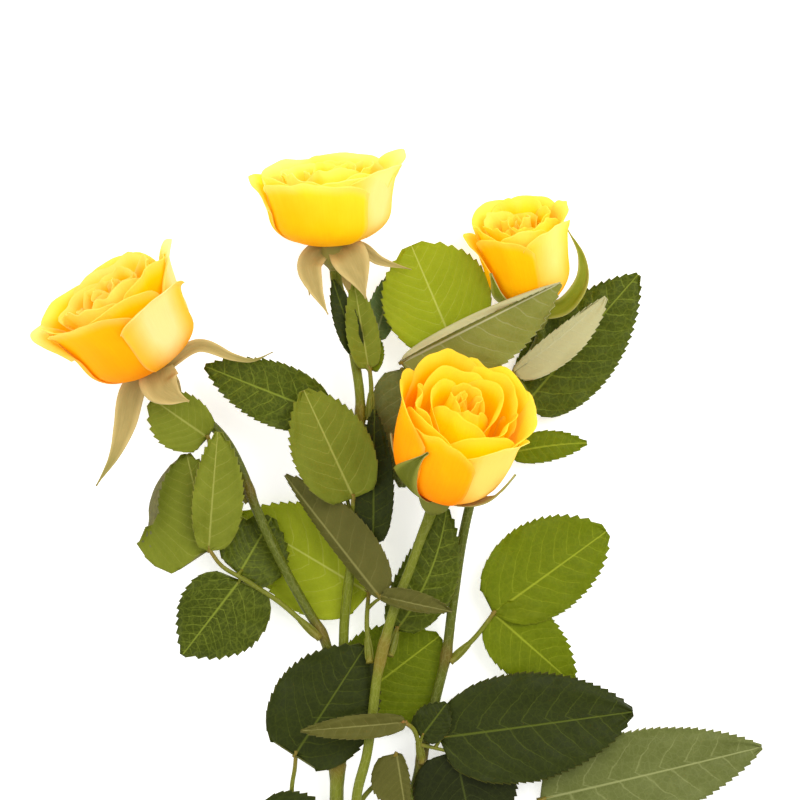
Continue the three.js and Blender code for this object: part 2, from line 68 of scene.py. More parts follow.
MM = 0.001
PLANT_ORIGIN = np.array((-0.08, -8.29, -0.08))  # where the plant's own zero lies in the frame, mm
RESTING = 0.12  # nothing lies lower than this above the surface, mm
GOLDEN_TURN = 137.5  # degrees from one petal of the spiral to the next
BODY = "root"


# ---------------------------------------------------------------------------------------------
# Small maths
# ---------------------------------------------------------------------------------------------

SPLINE_STEPS = 24  # steps between two points of a curve before it is stepped evenly
OCTAVE_STRETCH = 0.55  # how much finer each further wave of a ripple is
RIPPLE_SIZE = 2.2  # the height that a ripple's waves add up to, about
UP = np.array((0.0, 0.0, 1.0))


def unit(vector: np.ndarray) -> np.ndarray:
    """Vectors scaled to length one along the last axis."""
    size = np.linalg.norm(vector, axis=-1, keepdims=True)
    return vector / np.maximum(size, 1e-9)


def between(ends: Pair, share: Any) -> Any:
    """The value at a share, or at each of many, of the way from the first end to the second."""
    return ends[0] + (ends[1] - ends[0]) * share


def smooth(value: Any, start: float, end: float) -> np.ndarray:
    """A soft step from 0 at start to 1 at end."""
    share = np.clip((np.asarray(value, dtype=float) - start) / (end - start), 0.0, 1.0)
    return share * share * (3.0 - 2.0 * share)


def running(values: np.ndarray, places: np.ndarray, axis: int) -> np.ndarray:
    """The running integral of values over places, from 0 at the first place.

    Args:
        values: what is added up.
        places: where the values stand along the axis.
        axis: the axis that is walked along.

    Returns:
        An array of the shape of values.
    """
    values, places = np.moveaxis(values, axis, -1), np.moveaxis(places, axis, -1)
    steps = (values[..., 1:] + values[..., :-1]) / 2 * np.diff(places, axis=-1)
    total = np.concatenate([np.zeros((*steps.shape[:-1], 1)), np.cumsum(steps, axis=-1)], axis=-1)
    return np.moveaxis(total, -1, axis)


def evenly(line: np.ndarray, steps: int) -> np.ndarray:
    """The same line with its points at equal distances.

    Args:
        line: the points of the line, one row each.
        steps: the number of equal steps.

    Returns:
        An array of steps + 1 points.
    """
    gaps = np.linalg.norm(np.diff(line, axis=0), axis=1)
    walked = np.concatenate([[0.0], np.cumsum(gaps)])
    places = np.linspace(0.0, walked[-1], steps + 1)
    return np.stack([np.interp(places, walked, line[:, k]) for k in range(line.shape[1])], axis=1)


def spline(points: Any, steps: int) -> np.ndarray:
    """A smooth curve through the points, evenly stepped along its length.

    Args:
        points: the points that the curve passes through.
        steps: the number of equal steps.

    Returns:
        An array of steps + 1 points.
    """
    knots = np.asarray(points, dtype=float)
    if len(knots) == 2:
        return np.linspace(knots[0], knots[1], steps + 1)
    knots = np.concatenate([[2 * knots[0] - knots[1]], knots, [2 * knots[-1] - knots[-2]]])
    pieces = []
    for a, b, c, d in zip(knots, knots[1:], knots[2:], knots[3:]):
        gaps = [max(float(np.linalg.norm(q - p)), 1e-6) ** 0.5 for p, q in ((a, b), (b, c), (c, d))]
        t0, t1, t2, t3 = np.cumsum([0.0, *gaps])
        t = np.linspace(t1, t2, SPLINE_STEPS, endpoint=False)[:, None]
        ab = (t1 - t) / (t1 - t0) * a + (t - t0) / (t1 - t0) * b
        bc = (t2 - t) / (t2 - t1) * b + (t - t1) / (t2 - t1) * c
        cd = (t3 - t) / (t3 - t2) * c + (t - t2) / (t3 - t2) * d
        abc = (t2 - t) / (t2 - t0) * ab + (t - t0) / (t2 - t0) * bc
        bcd = (t3 - t) / (t3 - t1) * bc + (t - t1) / (t3 - t1) * cd
        pieces.append((t2 - t) / (t2 - t1) * abc + (t - t1) / (t2 - t1) * bcd)
    return evenly(np.concatenate([*pieces, knots[-2:-1]]), steps)


def ripple(u: Any, v: Any, seed: int, scale: Pair = (3.0, 3.0), octaves: int = 4) -> np.ndarray:
    """A soft random surface between about -1 and 1, the same for the same seed.

    Args:
        u: places along the sheet.
        v: places across the sheet.
        seed: picks the surface.
        scale: how many waves it has along and across.
        octaves: how many finer waves are laid over each other.

    Returns:
        The surface's height at each place.
    """
    dice = np.random.default_rng(seed)
    total = np.zeros(np.broadcast(u, v).shape)
    for octave in range(octaves):
        turn, shift = dice.uniform(0, 2 * math.pi, 2)
        stretch = 1.0 + OCTAVE_STRETCH * octave
        wave_u = scale[0] * stretch * math.cos(turn)
        wave_v = scale[1] * stretch * math.sin(turn)
        total = total + np.sin(math.pi * (wave_u * u + wave_v * v) + shift) / (1 + 0.5 * octave)
    return total / RIPPLE_SIZE


# ---------------------------------------------------------------------------------------------
# Building meshes
# ---------------------------------------------------------------------------------------------

LAYERS = ("along", "across", "upper", "tone", "rib", "pale")
CAP_RINGS = (0.72, 0.3)  # how far out the two rings on a rod's first end stand
TIP_BULGE = 0.25  # how far a rod's last end stands out, as a share of its radius


def grid_quads(rows: int, columns: int, closed: bool = False) -> np.ndarray:
    """The faces of a grid of points.

    Args:
        rows: points along the grid.
        columns: points across it.
        closed: the last column joins the first.

    Returns:
        Four point numbers for each face.
    """
    last = columns if closed else columns - 1
    row, column = np.meshgrid(np.arange(rows - 1), np.arange(last), indexing="ij")
    beside = (column + 1) % columns
    corners = [row * columns + column, row * columns + beside,
               (row + 1) * columns + beside, (row + 1) * columns + column]
    return np.stack([corner.ravel() for corner in corners], axis=1)


@dataclass
class Skin:
    """The faces of one piece, with the named numbers on its points that its finish reads."""

    points: list[np.ndarray] = field(default_factory=list)
    faces: list[np.ndarray] = field(default_factory=list)
    slots: list[np.ndarray] = field(default_factory=list)
    flats: list[np.ndarray] = field(default_factory=list)
    layers: dict[str, list[np.ndarray]] = field(default_factory=lambda: {n: [] for n in LAYERS})
    count: int = 0

    def add(self, points: np.ndarray, quads: np.ndarray, slots: Any, flat: np.ndarray,
            layers: dict[str, Any]) -> None:
        """Adds one closed body.

        Args:
            points: its points, one row each.
            quads: its faces, four point numbers each; a triangle names its last point twice.
            slots: which of the piece's finishes each face wears.
            flat: its points as if pressed flat, in millimetres.
            layers: one number per point for each named layer that isn't zero.
        """
        points = points.copy()
        points[:, 2] = np.maximum(points[:, 2], RESTING - PLANT_ORIGIN[2])
        self.points.append(points)
        self.faces.append(quads + self.count)
        self.slots.append(np.broadcast_to(slots, (len(quads),)))
        self.flats.append(flat)
        for name in LAYERS:
            self.layers[name].append(np.broadcast_to(layers.get(name, 0.0), (len(points),)))
        self.count += len(points)

    def add_sheet(self, grid: np.ndarray, thickness: Any, slot: int, flat: np.ndarray,
                  layers: dict[str, Any], turned: bool = False) -> None:
        """Adds a thin closed sheet around a grid of middle points.

        Args:
            grid: middle points, rows by columns by three.
            thickness: its thickness, one number or one at each point.
            slot: which finish it wears.
            flat: the sheet pressed flat, rows by columns by three.
            layers: named numbers at each point.
            turned: its lower side wears what the upper side would.
        """
        rows, columns = grid.shape[:2]
        normal = unit(np.cross(np.gradient(grid, axis=1), np.gradient(grid, axis=0)))
        half = np.broadcast_to(np.asarray(thickness) / 2, (rows, columns))[..., None]
        grid = grid.copy()
        grid[..., 2] = np.maximum(grid[..., 2], RESTING - PLANT_ORIGIN[2] + half[..., 0])
        points = np.concatenate([(grid + normal * half).reshape(-1, 3),
                                 (grid - normal * half).reshape(-1, 3)])
        size = rows * columns
        top = grid_quads(rows, columns)
        edge = np.concatenate([
            np.arange(columns), np.arange(1, rows) * columns + columns - 1,
            (rows - 1) * columns + np.arange(columns - 2, -1, -1),
            np.arange(rows - 2, 0, -1) * columns])
        ahead = np.roll(edge, -1)
        rim = np.stack([edge, edge + size, ahead + size, ahead], axis=1)
        quads = np.concatenate([top, top[:, ::-1] + size, rim])
        doubled = {name: np.tile(np.broadcast_to(value, (rows, columns)).ravel(), 2)
                   for name, value in layers.items()}
        doubled["upper"] = np.repeat([0.0, 1.0] if turned else [1.0, 0.0], size)
        self.add(points, quads, slot, np.tile(flat.reshape(-1, 3), (2, 1)), doubled)

    def add_rod(self, line: np.ndarray, radii: Any, slot: int = 0, sides: int = 14,
                tone: Any = 0.0, ribs: Pair = (0.0, 0.0), cut: float = 0.0,
                cut_slot: int | None = None) -> None:
        """Adds a round rod along a line.

        Args:
            line: the points of its middle.
            radii: its radius, one number or one at each point.
            slot: which finish it wears.
            sides: points around.
            tone: its shade, one number or one at each point.
            ribs: how many ribs run along it, and how deep they are as a share of the radius.
            cut: how steeply its first end is cut, as rise over run.
            cut_slot: the finish of the cut face, if it has its own.
        """
        rows = len(line)
        radii = np.broadcast_to(np.asarray(radii, dtype=float), (rows,))
        ahead = unit(np.gradient(line, axis=0))
        across = np.zeros_like(line)
        across[0] = unit(np.cross(ahead[0], (0.31, 0.17, 0.93)))
        for index in range(1, rows):
            across[index] = unit(across[index - 1]
                                 - ahead[index] * np.dot(across[index - 1], ahead[index]))
        upward = np.cross(ahead, across)
        angle = np.arange(sides) / sides * 2 * math.pi
        ring = (across[:, None, :] * np.cos(angle)[None, :, None]
                + upward[:, None, :] * np.sin(angle)[None, :, None])
        rib = 1 + ribs[1] * np.cos(ribs[0] * angle)
        walls = line[:, None, :] + ring * (radii[:, None] * rib[None, :])[:, :, None]
        if cut:
            walls[0] += ahead[0] * ((walls[0] - line[0])[:, 2] * cut)[:, None]
        start = [line[0] + (walls[0] - line[0]) * share for share in CAP_RINGS]
        count = rows * sides
        points = np.concatenate([walls.reshape(-1, 3), start[0], start[1], line[:1],
                                 line[-1:] + ahead[-1:] * radii[-1] * TIP_BULGE])
        beside = (np.arange(sides) + 1) % sides
        here = np.arange(sides)
        inner, core = count + here, count + sides + here
        middle, tip = count + 2 * sides, count + 2 * sides + 1
        last = (rows - 1) * sides
        caps = [
            np.stack([here, here[beside], inner[beside], inner], axis=1)[:, ::-1],
            np.stack([inner, inner[beside], core[beside], core], axis=1)[:, ::-1],
            np.stack([core[beside], core, np.full(sides, middle), np.full(sides, middle)], axis=1),
            np.stack([last + here, last + beside, np.full(sides, tip), np.full(sides, tip)],
                     axis=1)]
        walls_faces = grid_quads(rows, sides, closed=True)
        face_slots = np.full(len(walls_faces) + 4 * sides, slot)
        if cut_slot is not None:
            face_slots[len(walls_faces):len(walls_faces) + 3 * sides] = cut_slot
        walked = running(np.ones(rows), np.concatenate(
            [[0.0], np.cumsum(np.linalg.norm(np.diff(line, axis=0), axis=1))]), 0)
        extra = 2 * sides + 2
        ends = np.zeros(extra)
        ends[-1] = walked[-1]
        lengths = np.concatenate([np.repeat(walked, sides), ends])
        rounds = np.concatenate([np.tile(angle, rows) * radii.repeat(sides), np.zeros(extra)])
        shades = np.broadcast_to(tone, (rows,))
        shades = np.concatenate([shades.repeat(sides), np.full(extra - 1, shades[0]), shades[-1:]])
        share = np.concatenate([np.ones(count), *(np.full(sides, ring) for ring in CAP_RINGS),
                                [0.0, 1.0]])
        self.add(points, np.concatenate([walls_faces, *caps]), face_slots,
                 np.stack([rounds, lengths, 0 * rounds], axis=1),
                 {"along": lengths / walked[-1], "upper": 1.0, "tone": shades, "pale": share})

    def build(self, name: str, finishes: list[bpy.types.Material]) -> bpy.types.Object:
        """Makes the Blender object of this skin.

        Args:
            name: the piece's name.
            finishes: the materials that the slots name.

        Returns:
            The object, in metres in the frame.
        """
        points = (np.concatenate(self.points) + PLANT_ORIGIN) * MM
        quads = np.concatenate(self.faces)
        faces = [face[:3] if face[2] == face[3] else face for face in quads.tolist()]
        mesh = bpy.data.meshes.new(name)
        mesh.from_pydata(points.tolist(), [], faces)
        mesh.polygons.foreach_set("material_index", np.concatenate(self.slots).astype(np.int32))
        mesh.polygons.foreach_set("use_smooth", np.ones(len(faces), dtype=bool))
        for layer, values in self.layers.items():
            attribute = mesh.attributes.new(layer, "FLOAT", "POINT")
            attribute.data.foreach_set("value", np.concatenate(values).astype(np.float32))
        flat = mesh.attributes.new("flat", "FLOAT_VECTOR", "POINT")
        flat.data.foreach_set("vector", np.concatenate(self.flats).astype(np.float32).ravel())
        mesh.update()
        made = bpy.data.objects.new(name, mesh)
        bpy.context.scene.collection.objects.link(made)
        for material in finishes:
            mesh.materials.append(material)
        return made


def deliver(skin: Skin, name: str, node: str,
            finishes: list[bpy.types.Material]) -> None:
    """Builds a piece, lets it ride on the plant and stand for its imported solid.

    Args:
        skin: the piece's faces.
        name: the piece's name.
        node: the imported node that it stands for.
        finishes: its materials.
    """
    made = skin.build(name, finishes)
    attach(made, BODY)
    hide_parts(node)
    low, high = (np.array(corner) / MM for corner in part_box(node))
    points = np.concatenate(skin.points) + PLANT_ORIGIN
    LOG.info("%s: %d faces, outside its node's box by %.1f %.1f %.1f below, %.1f %.1f %.1f above",
             name, len(made.data.polygons), *(low - points.min(0)), *(points.max(0) - high))


# ---------------------------------------------------------------------------------------------
# Finishes
# ---------------------------------------------------------------------------------------------

FINE_RELIEF = 0.0003  # the height of streaks, threads and fibres, in metres
QUILT_RELIEF = 0.0005  # the height of a blade between its veins, in metres
SHEET_RELIEF = 0.0016  # the height of a petal's slow waves, in metres


class Value:
    """A node's output that adds up like a number."""

    def __init__(self, graph: Graph, socket: bpy.types.NodeSocket) -> None:
        """Wraps one output socket of a graph."""
        self.graph = graph
        self.socket = socket

    def _math(self, operation: str, *others: Any) -> Value:
        """This value and the others through one Math node."""
        return self.graph.node("ShaderNodeMath", {"operation": operation},
                               dict(enumerate((self, *others))))

    def __add__(self, other: Any) -> Value:
        """The sum."""
        return self._math("ADD", other)

    __radd__ = __add__

    def __sub__(self, other: Any) -> Value:
        """The difference."""
        return self._math("SUBTRACT", other)

    def __rsub__(self, other: Any) -> Value:
        """The difference, the other way round."""
        return self.graph.node("ShaderNodeMath", {"operation": "SUBTRACT"}, {0: other, 1: self})

    def __mul__(self, other: Any) -> Value:
        """The product."""
        return self._math("MULTIPLY", other)

    __rmul__ = __mul__

    def __abs__(self) -> Value:
        """The size without the sign."""
        return self._math("ABSOLUTE")

    def fraction(self) -> Value:
        """What is left over the whole number."""
        return self._math("FRACT")

    def clamp(self) -> Value:
        """The value kept between 0 and 1."""
        return self.graph.node("ShaderNodeClamp", {}, {"Value": self, "Min": 0.0, "Max": 1.0})

    def step(self, start: Any, end: Any) -> Value:
        """A soft step from 0 at start to 1 at end."""
        settings = {"interpolation_type": "SMOOTHSTEP"}
        return self.graph.node("ShaderNodeMapRange", settings,
                               {"Value": self, "From Min": start, "From Max": end})


class Graph:
    """The node tree of one material."""

    def __init__(self, name: str) -> None:
        """Starts an empty material.

        Args:
            name: the material's name.
        """
        self.material = bpy.data.materials.new(name)
        self.material.use_nodes = True
        self.tree = self.material.node_tree
        self.tree.nodes.clear()

    def node(self, kind: str, settings: dict[str, Any], sockets: dict[Any, Any],
             out: int | str = 0) -> Value:
        """Adds a node.

        Args:
            kind: the node's type.
            settings: its own settings, set first; "stops" are a colour ramp's places and colours.
            sockets: the values or links of its inputs, by name or number.
            out: which output is wanted.

        Returns:
            The wanted output.
        """
        made = self.tree.nodes.new(kind)
        for key, setting in settings.items():
            if key == "stops":
                ramp = made.color_ramp
                while len(ramp.elements) < len(setting):
                    ramp.elements.new(0.5)
                for element, (place, colour) in zip(ramp.elements, setting):
                    element.position = place
                    element.color = (*colour, 1.0)
            else:
                setattr(made, key, setting)
        for key, value in sockets.items():
            if isinstance(value, Value):
                self.tree.links.new(value.socket, made.inputs[key])
            elif isinstance(value, tuple) and len(value) == 3 and made.inputs[key].type == "RGBA":
                made.inputs[key].default_value = (*value, 1.0)
            else:
                made.inputs[key].default_value = value
        return Value(self, made.outputs[out])

    def layer(self, name: str) -> Value:
        """A named number of the piece's points."""
        return self.node("ShaderNodeAttribute", {"attribute_name": name}, {}, "Fac")

    def flat(self, scale: Triple) -> Value:
        """Places on the sheet as if pressed flat, stretched by scale."""
        place = self.node("ShaderNodeAttribute", {"attribute_name": "flat"}, {}, "Vector")
        return self.node("ShaderNodeVectorMath", {"operation": "MULTIPLY"}, {0: place, 1: scale})

    def mix(self, low: Any, high: Any, factor: Any) -> Value:
        """A colour between low and high."""
        return self.node("ShaderNodeMix", {"data_type": "RGBA"}, {0: factor, 6: low, 7: high}, 2)

    def multiply(self, low: Any, high: Any, factor: Any) -> Value:
        """The colour low, darkened by high."""
        settings = {"data_type": "RGBA", "blend_type": "MULTIPLY"}
        return self.node("ShaderNodeMix", settings, {0: factor, 6: low, 7: high}, 2)

    def noise(self, place: Value, scale: float, detail: float = 3.0,
              distortion: float = 0.0) -> Value:
        """Soft noise between 0 and 1."""
        return self.node("ShaderNodeTexNoise", {}, {
            "Vector": place, "Scale": scale, "Detail": detail, "Distortion": distortion}, 0)

    def cells(self, place: Value, scale: float) -> Value:
        """The distance to the nearest edge between cells."""
        return self.node("ShaderNodeTexVoronoi", {"feature": "DISTANCE_TO_EDGE"},
                         {"Vector": place, "Scale": scale}, 0)

    def bump(self, height: Value, strength: float, distance: float,
             below: Value | None = None) -> Value:
        """A normal that follows a height.

        Args:
            height: the height, 0 to 1.
            strength: the share of the height that shows.
            distance: the height of 1, in metres.
            below: the normal that it starts from.

        Returns:
            The normal.
        """
        sockets = {"Strength": strength, "Distance": distance, "Height": height}
        if below is not None:
            sockets["Normal"] = below
        return self.node("ShaderNodeBump", {}, sockets)

    def finish(self, principled: dict[str, Any], thin: Any = None,
               through: Any = 0.0) -> bpy.types.Material:
        """Closes the material.

        Args:
            principled: the sockets of the main shader.
            thin: the colour of the light that comes through, if any does.
            through: the share of light that comes through.

        Returns:
            The material.
        """
        shader = self.node("ShaderNodeBsdfPrincipled", {}, principled)
        if thin is not None:
            sockets = {"Color": thin}
            if "Normal" in principled:
                sockets["Normal"] = principled["Normal"]
            glow = self.node("ShaderNodeBsdfTranslucent", {}, sockets)
            shader = self.node("ShaderNodeMixShader", {}, {0: through, 1: shader, 2: glow})
        output = self.tree.nodes.new("ShaderNodeOutputMaterial")
        self.tree.links.new(shader.socket, output.inputs["Surface"])
        return self.material


def shade(red: int, green: int, blue: int) -> Colour:
    """A colour given in the usual 0 to 255 steps, as the shaders want it.

    Args:
        red: the red step.
        green: the green step.
        blue: the blue step.

    Returns:
        The colour without its display curve.
    """
    def straight(step: int) -> float:
        """One channel without its display curve."""
        share = step / 255
        return share / 12.92 if share <= 0.04045 else ((share + 0.055) / 1.055) ** 2.4
    return straight(red), straight(green), straight(blue)


@dataclass(frozen=True)
class LeafFinish:
    """A rose leaflet: quilted green blade, pale net of veins, greyer underside.

    face and deep are the blade's two greens, through the share of light that comes through it, and
    net and side_veins how much its veins show.
    """

    name: str
    face: Colour
    deep: Colour
    vein: Colour
    back: Colour
    gloss: float = 0.42
    through: float = 0.22
    net: float = 0.3
    side_veins: float = 0.34

    def build(self) -> bpy.types.Material:
        """Builds the node tree.

        Returns:
            The material.
        """
        graph = Graph(self.name)
        along, across = graph.layer("along"), graph.layer("across")
        upper, tone = graph.layer("upper"), graph.layer("tone")
        place = graph.flat((1.0, 1.0, 1.0))
        from_rib = abs(across)
        # along is counted in shares of the length, across in millimetres from the midrib
        midrib = 1 - from_rib.step(0.12, 0.62 - 0.36 * along)
        wander = graph.noise(place, 0.16, 3.0)
        phase = graph.layer("rib") + (wander - 0.5) * 0.5
        off = abs((phase + 0.5).fraction() - 0.5)
        margin = graph.layer("pale")
        side_vein = (1 - off.step(0.008, 0.07 - 0.045 * margin)) * (1 - margin.step(0.6, 0.98))
        bent = graph.noise(place, 0.35, 2.0)
        net_place = graph.node("ShaderNodeVectorMath", {"operation": "MULTIPLY_ADD"},
                               {0: bent, 1: (1.6, 1.6, 0.0), 2: place})
        coarse = 1 - graph.cells(net_place, 0.42).step(0.0, 0.12)
        fine = 1 - graph.cells(net_place, 1.1).step(0.0, 0.16)
        net = (coarse * 0.7 + fine * 0.4).clamp()
        patch = graph.noise(place, 0.09, 3.0)
        grain = graph.noise(place, 2.6, 4.0)
        blade = graph.mix(self.face, self.deep, (patch * 0.9 - 0.1 + tone).clamp())
        blade = graph.multiply(blade, (0.72, 0.76, 0.66), (off * 1.5) * 0.35 + grain * 0.25)
        veins = (net * self.net * 0.5 + side_vein * self.side_veins).clamp()
        blade = graph.mix(blade, self.vein, veins)
        blade = graph.mix(blade, self.vein, midrib * 0.9)
        edge = margin.step(0.965, 1.0)
        blade = graph.mix(blade, graph.mix(self.vein, shade(120, 90, 40), 0.4), edge * 0.4)
        under = graph.mix(self.back, self.vein, (side_vein * 0.45 + midrib * 0.8
                                                 + net * 0.16).clamp())
        colour = graph.mix(under, blade, upper)
        relief = (off * 1.3).clamp() * 0.9 - side_vein * 0.35 - net * 0.22 - midrib * 0.5
        signed = relief * (upper * 2.0 - 1.0) * 0.5 + 0.5 + grain * 0.08
        normal = graph.bump(signed, 0.55, QUILT_RELIEF)
        rough = (self.gloss + grain * 0.14 + (1 - upper) * 0.22 + net * 0.05).clamp()
        glow = graph.mix(shade(150, 175, 30), self.face, 0.35)
        return graph.finish({
            "Base Color": colour, "Roughness": rough, "Normal": normal,
            "Specular IOR Level": 0.14}, glow, self.through)


@dataclass(frozen=True)
class PetalFinish:
    """A yellow rose petal: deeper at its foot, paler at its rim, finely streaked.

    glow makes the petal give off light of its own colour, a painted glow that stands for the light
    that wanders inside a petal. rim_highlight is the strength of the painted highlight along its
    margin, where a rolled rim catches the light, and pale_and_highlight is the colour of that
    highlight and of the petal's paler patches, which are partly its own and partly painted light.
    """

    name: str
    foot: Colour
    middle: Colour
    rim: Colour
    pale_and_highlight: Colour
    through: float = 0.45
    glow: float = 0.1
    rim_highlight: float = 0.5

    def build(self) -> bpy.types.Material:
        """Builds the node tree.

        Returns:
            The material.
        """
        graph = Graph(self.name)
        along, across = graph.layer("along"), graph.layer("across")
        upper, tone, pale = graph.layer("upper"), graph.layer("tone"), graph.layer("pale")
        streaks = graph.noise(graph.flat((1.5, 0.05, 1.0)), 1.0, 4.0, 0.3)
        threads = graph.noise(graph.flat((5.0, 0.12, 1.0)), 1.0, 2.0, 0.4)
        cloud = graph.noise(graph.flat((0.12, 0.1, 1.0)), 1.0, 3.0)
        place = (along + (cloud - 0.5) * 0.3 + (streaks - 0.5) * 0.16 - tone * 0.5).clamp()
        colour = graph.node("ShaderNodeValToRGB", {"stops": (
            (0.0, self.foot), (0.5, self.middle), (0.95, self.rim))}, {0: place})
        # paler patches: partly the petal's own paler colour, partly painted highlight where an outer
        # petal faces the light
        colour = graph.mix(colour, self.pale_and_highlight, (pale * (0.75 + cloud * 0.5)).clamp())
        colour = graph.multiply(colour, self.foot, (threads - 0.35).clamp() * 0.16)
        # painted highlight along the rim and the side margins, where a rolled rim catches the light
        rim = graph.layer("rib").step(0.86, 1.0) + abs(across).step(0.9, 1.0) * 0.6
        rim = rim * self.rim_highlight
        colour = graph.mix(colour, self.pale_and_highlight, (rim * (0.6 + cloud * 0.6)).clamp())
        normal = graph.bump(threads * 0.5 + streaks * 0.7, 0.35, FINE_RELIEF)
        normal = graph.bump(cloud, 0.3, SHEET_RELIEF, normal)
        rough = (0.55 + threads * 0.18 + (1 - upper) * 0.05).clamp()
        return graph.finish({
            "Base Color": colour, "Roughness": rough, "Normal": normal,
            "Specular IOR Level": 0.12, "Emission Color": colour,
            "Emission Strength": self.glow}, graph.mix(colour, self.middle, 0.35), self.through)


@dataclass(frozen=True)
class StalkFinish:
    """Green bark, streaked along the stalk, reddish where it is toned so."""

    name: str
    bark: Colour
    streak: Colour
    flush: Colour

    def build(self) -> bpy.types.Material:
        """Builds the node tree.

        Returns:
            The material.
        """
        graph = Graph(self.name)
        tone = graph.layer("tone")
        lines = graph.noise(graph.flat((2.6, 0.1, 1.0)), 1.0, 3.0)
        cloud = graph.noise(graph.flat((0.2, 0.06, 1.0)), 1.0, 2.0)
        dots = 1 - graph.cells(graph.flat((1.0, 0.45, 1.0)), 0.9).step(0.0, 0.1)
        colour = graph.mix(self.bark, self.streak, (lines * 1.5 - 0.3 + cloud * 0.4).clamp())
        colour = graph.mix(colour, self.flush, (tone * 0.8 * (0.5 + cloud)).clamp())
        colour = graph.mix(colour, shade(182, 182, 110), dots * 0.12)
        normal = graph.bump(lines * 0.7 + dots * 0.2, 0.5, FINE_RELIEF)
        return graph.finish({
            "Base Color": colour, "Roughness": (0.36 + lines * 0.16).clamp(), "Normal": normal,
            "Specular IOR Level": 0.2})


@dataclass(frozen=True)
class PithFinish:
    """The freshly cut end of the stem: a green ring round a pale pith."""

    name: str = "cut_pith"

    def build(self) -> bpy.types.Material:
        """Builds the node tree.

        Returns:
            The material.
        """
        graph = Graph(self.name)
        share = graph.layer("pale")
        grain = graph.noise(graph.flat((3.0, 3.0, 1.0)), 1.0, 3.0)
        colour = graph.mix(shade(226, 222, 190), shade(170, 178, 104), share.step(0.45, 0.78))
        colour = graph.mix(colour, shade(104, 116, 48), share.step(0.8, 1.0))
        colour = graph.multiply(colour, (0.75, 0.75, 0.7), grain * 0.5)
        return graph.finish({"Base Color": colour, "Roughness": (0.6 + grain * 0.2).clamp(),
                             "Normal": graph.bump(grain, 0.5, FINE_RELIEF)})


@dataclass(frozen=True)
class SepalFinish:
    """Sepals and hip: green or faded outside, woolly paler inside and along the margins."""

    name: str
    outside: Colour
    inside: Colour
    margin: Colour

    def build(self) -> bpy.types.Material:
        """Builds the node tree.

        Returns:
            The material.
        """
        graph = Graph(self.name)
        upper, tone, share = graph.layer("upper"), graph.layer("tone"), graph.layer("pale")
        fibres = graph.noise(graph.flat((2.4, 0.16, 1.0)), 1.0, 4.0, 0.3)
        cloud = graph.noise(graph.flat((0.25, 0.16, 1.0)), 1.0, 2.0)
        outside = graph.multiply(self.outside, (0.66, 0.68, 0.6), fibres * 0.8)
        outside = graph.mix(outside, self.margin, (share.step(0.45, 1.0) * 0.7
                                                   + (cloud - 0.45) * 0.5).clamp())
        inside = graph.multiply(self.inside, (0.8, 0.76, 0.66), fibres * 0.7)
        colour = graph.mix(inside, outside, upper)
        colour = graph.mix(colour, shade(122, 124, 46), tone.clamp())
        normal = graph.bump(fibres, 0.5, FINE_RELIEF)
        return graph.finish({"Base Color": colour, "Roughness": (0.5 + fibres * 0.25).clamp(),
                             "Normal": normal, "Specular IOR Level": 0.2},
                            graph.mix(colour, self.margin, 0.4), 0.12)


class Leaf(Enum):
    """The greens that the leaflets come in; one is a darker copy of the deep green as painted shade,
    and the greyish one holds a painted sheen.
    """

    OLIVE = LeafFinish("leaf_olive", shade(134, 141, 40), shade(104, 111, 16),
                       shade(166, 168, 78), shade(112, 108, 72), gloss=0.5, net=0.16)
    DARK = LeafFinish("leaf_deep_green", shade(46, 54, 3), shade(30, 36, 1), shade(84, 94, 22),
                      shade(106, 110, 64), gloss=0.46, through=0.12)
    BROWN = LeafFinish("leaf_brownish", shade(106, 102, 44), shade(82, 80, 26),
                       shade(140, 136, 74), shade(86, 86, 50), gloss=0.46, net=0.1,
                       side_veins=0.2)
    # a darker copy of the deep green: the same leaf colour with painted shade
    BLACKISH = LeafFinish("leaf_shaded_green", shade(36, 42, 3), shade(20, 24, 1),
                          shade(66, 74, 22), shade(90, 94, 56), gloss=0.46, through=0.08)
    FRESH = LeafFinish("leaf_fresh_green", shade(122, 134, 0), shade(94, 106, 0),
                       shade(168, 178, 44), shade(144, 150, 70), gloss=0.46, through=0.34)
    BRIGHT = LeafFinish("leaf_bright_green", shade(180, 188, 34), shade(146, 158, 6),
                        shade(208, 212, 96), shade(172, 174, 96), gloss=0.48, through=0.36,
                        net=0.14)
    # greyish green, partly the leaf's own colour and partly painted sheen, the grey of light glancing
    # off the waxy blade
    GREY = LeafFinish("leaf_grey_green", shade(114, 120, 64), shade(84, 90, 30),
                      shade(152, 156, 98), shade(150, 148, 108), gloss=0.38, through=0.16,
                      net=0.3)
    SILVER = LeafFinish("leaf_silver_underside", shade(148, 148, 68), shade(116, 118, 40),
                        shade(200, 196, 150), shade(194, 188, 138), gloss=0.46, through=0.2,
                        net=0.1, side_veins=0.2)
    BLUE = LeafFinish("leaf_blue_green", shade(104, 124, 70), shade(78, 100, 44),
                      shade(150, 162, 108), shade(128, 136, 92), gloss=0.38, through=0.16)
    GLOSSY = LeafFinish("leaf_glossy_green", shade(80, 90, 2), shade(52, 61, 0),
                        shade(132, 144, 44), shade(120, 126, 76), gloss=0.38, through=0.2,
                        net=0.6, side_veins=0.5)


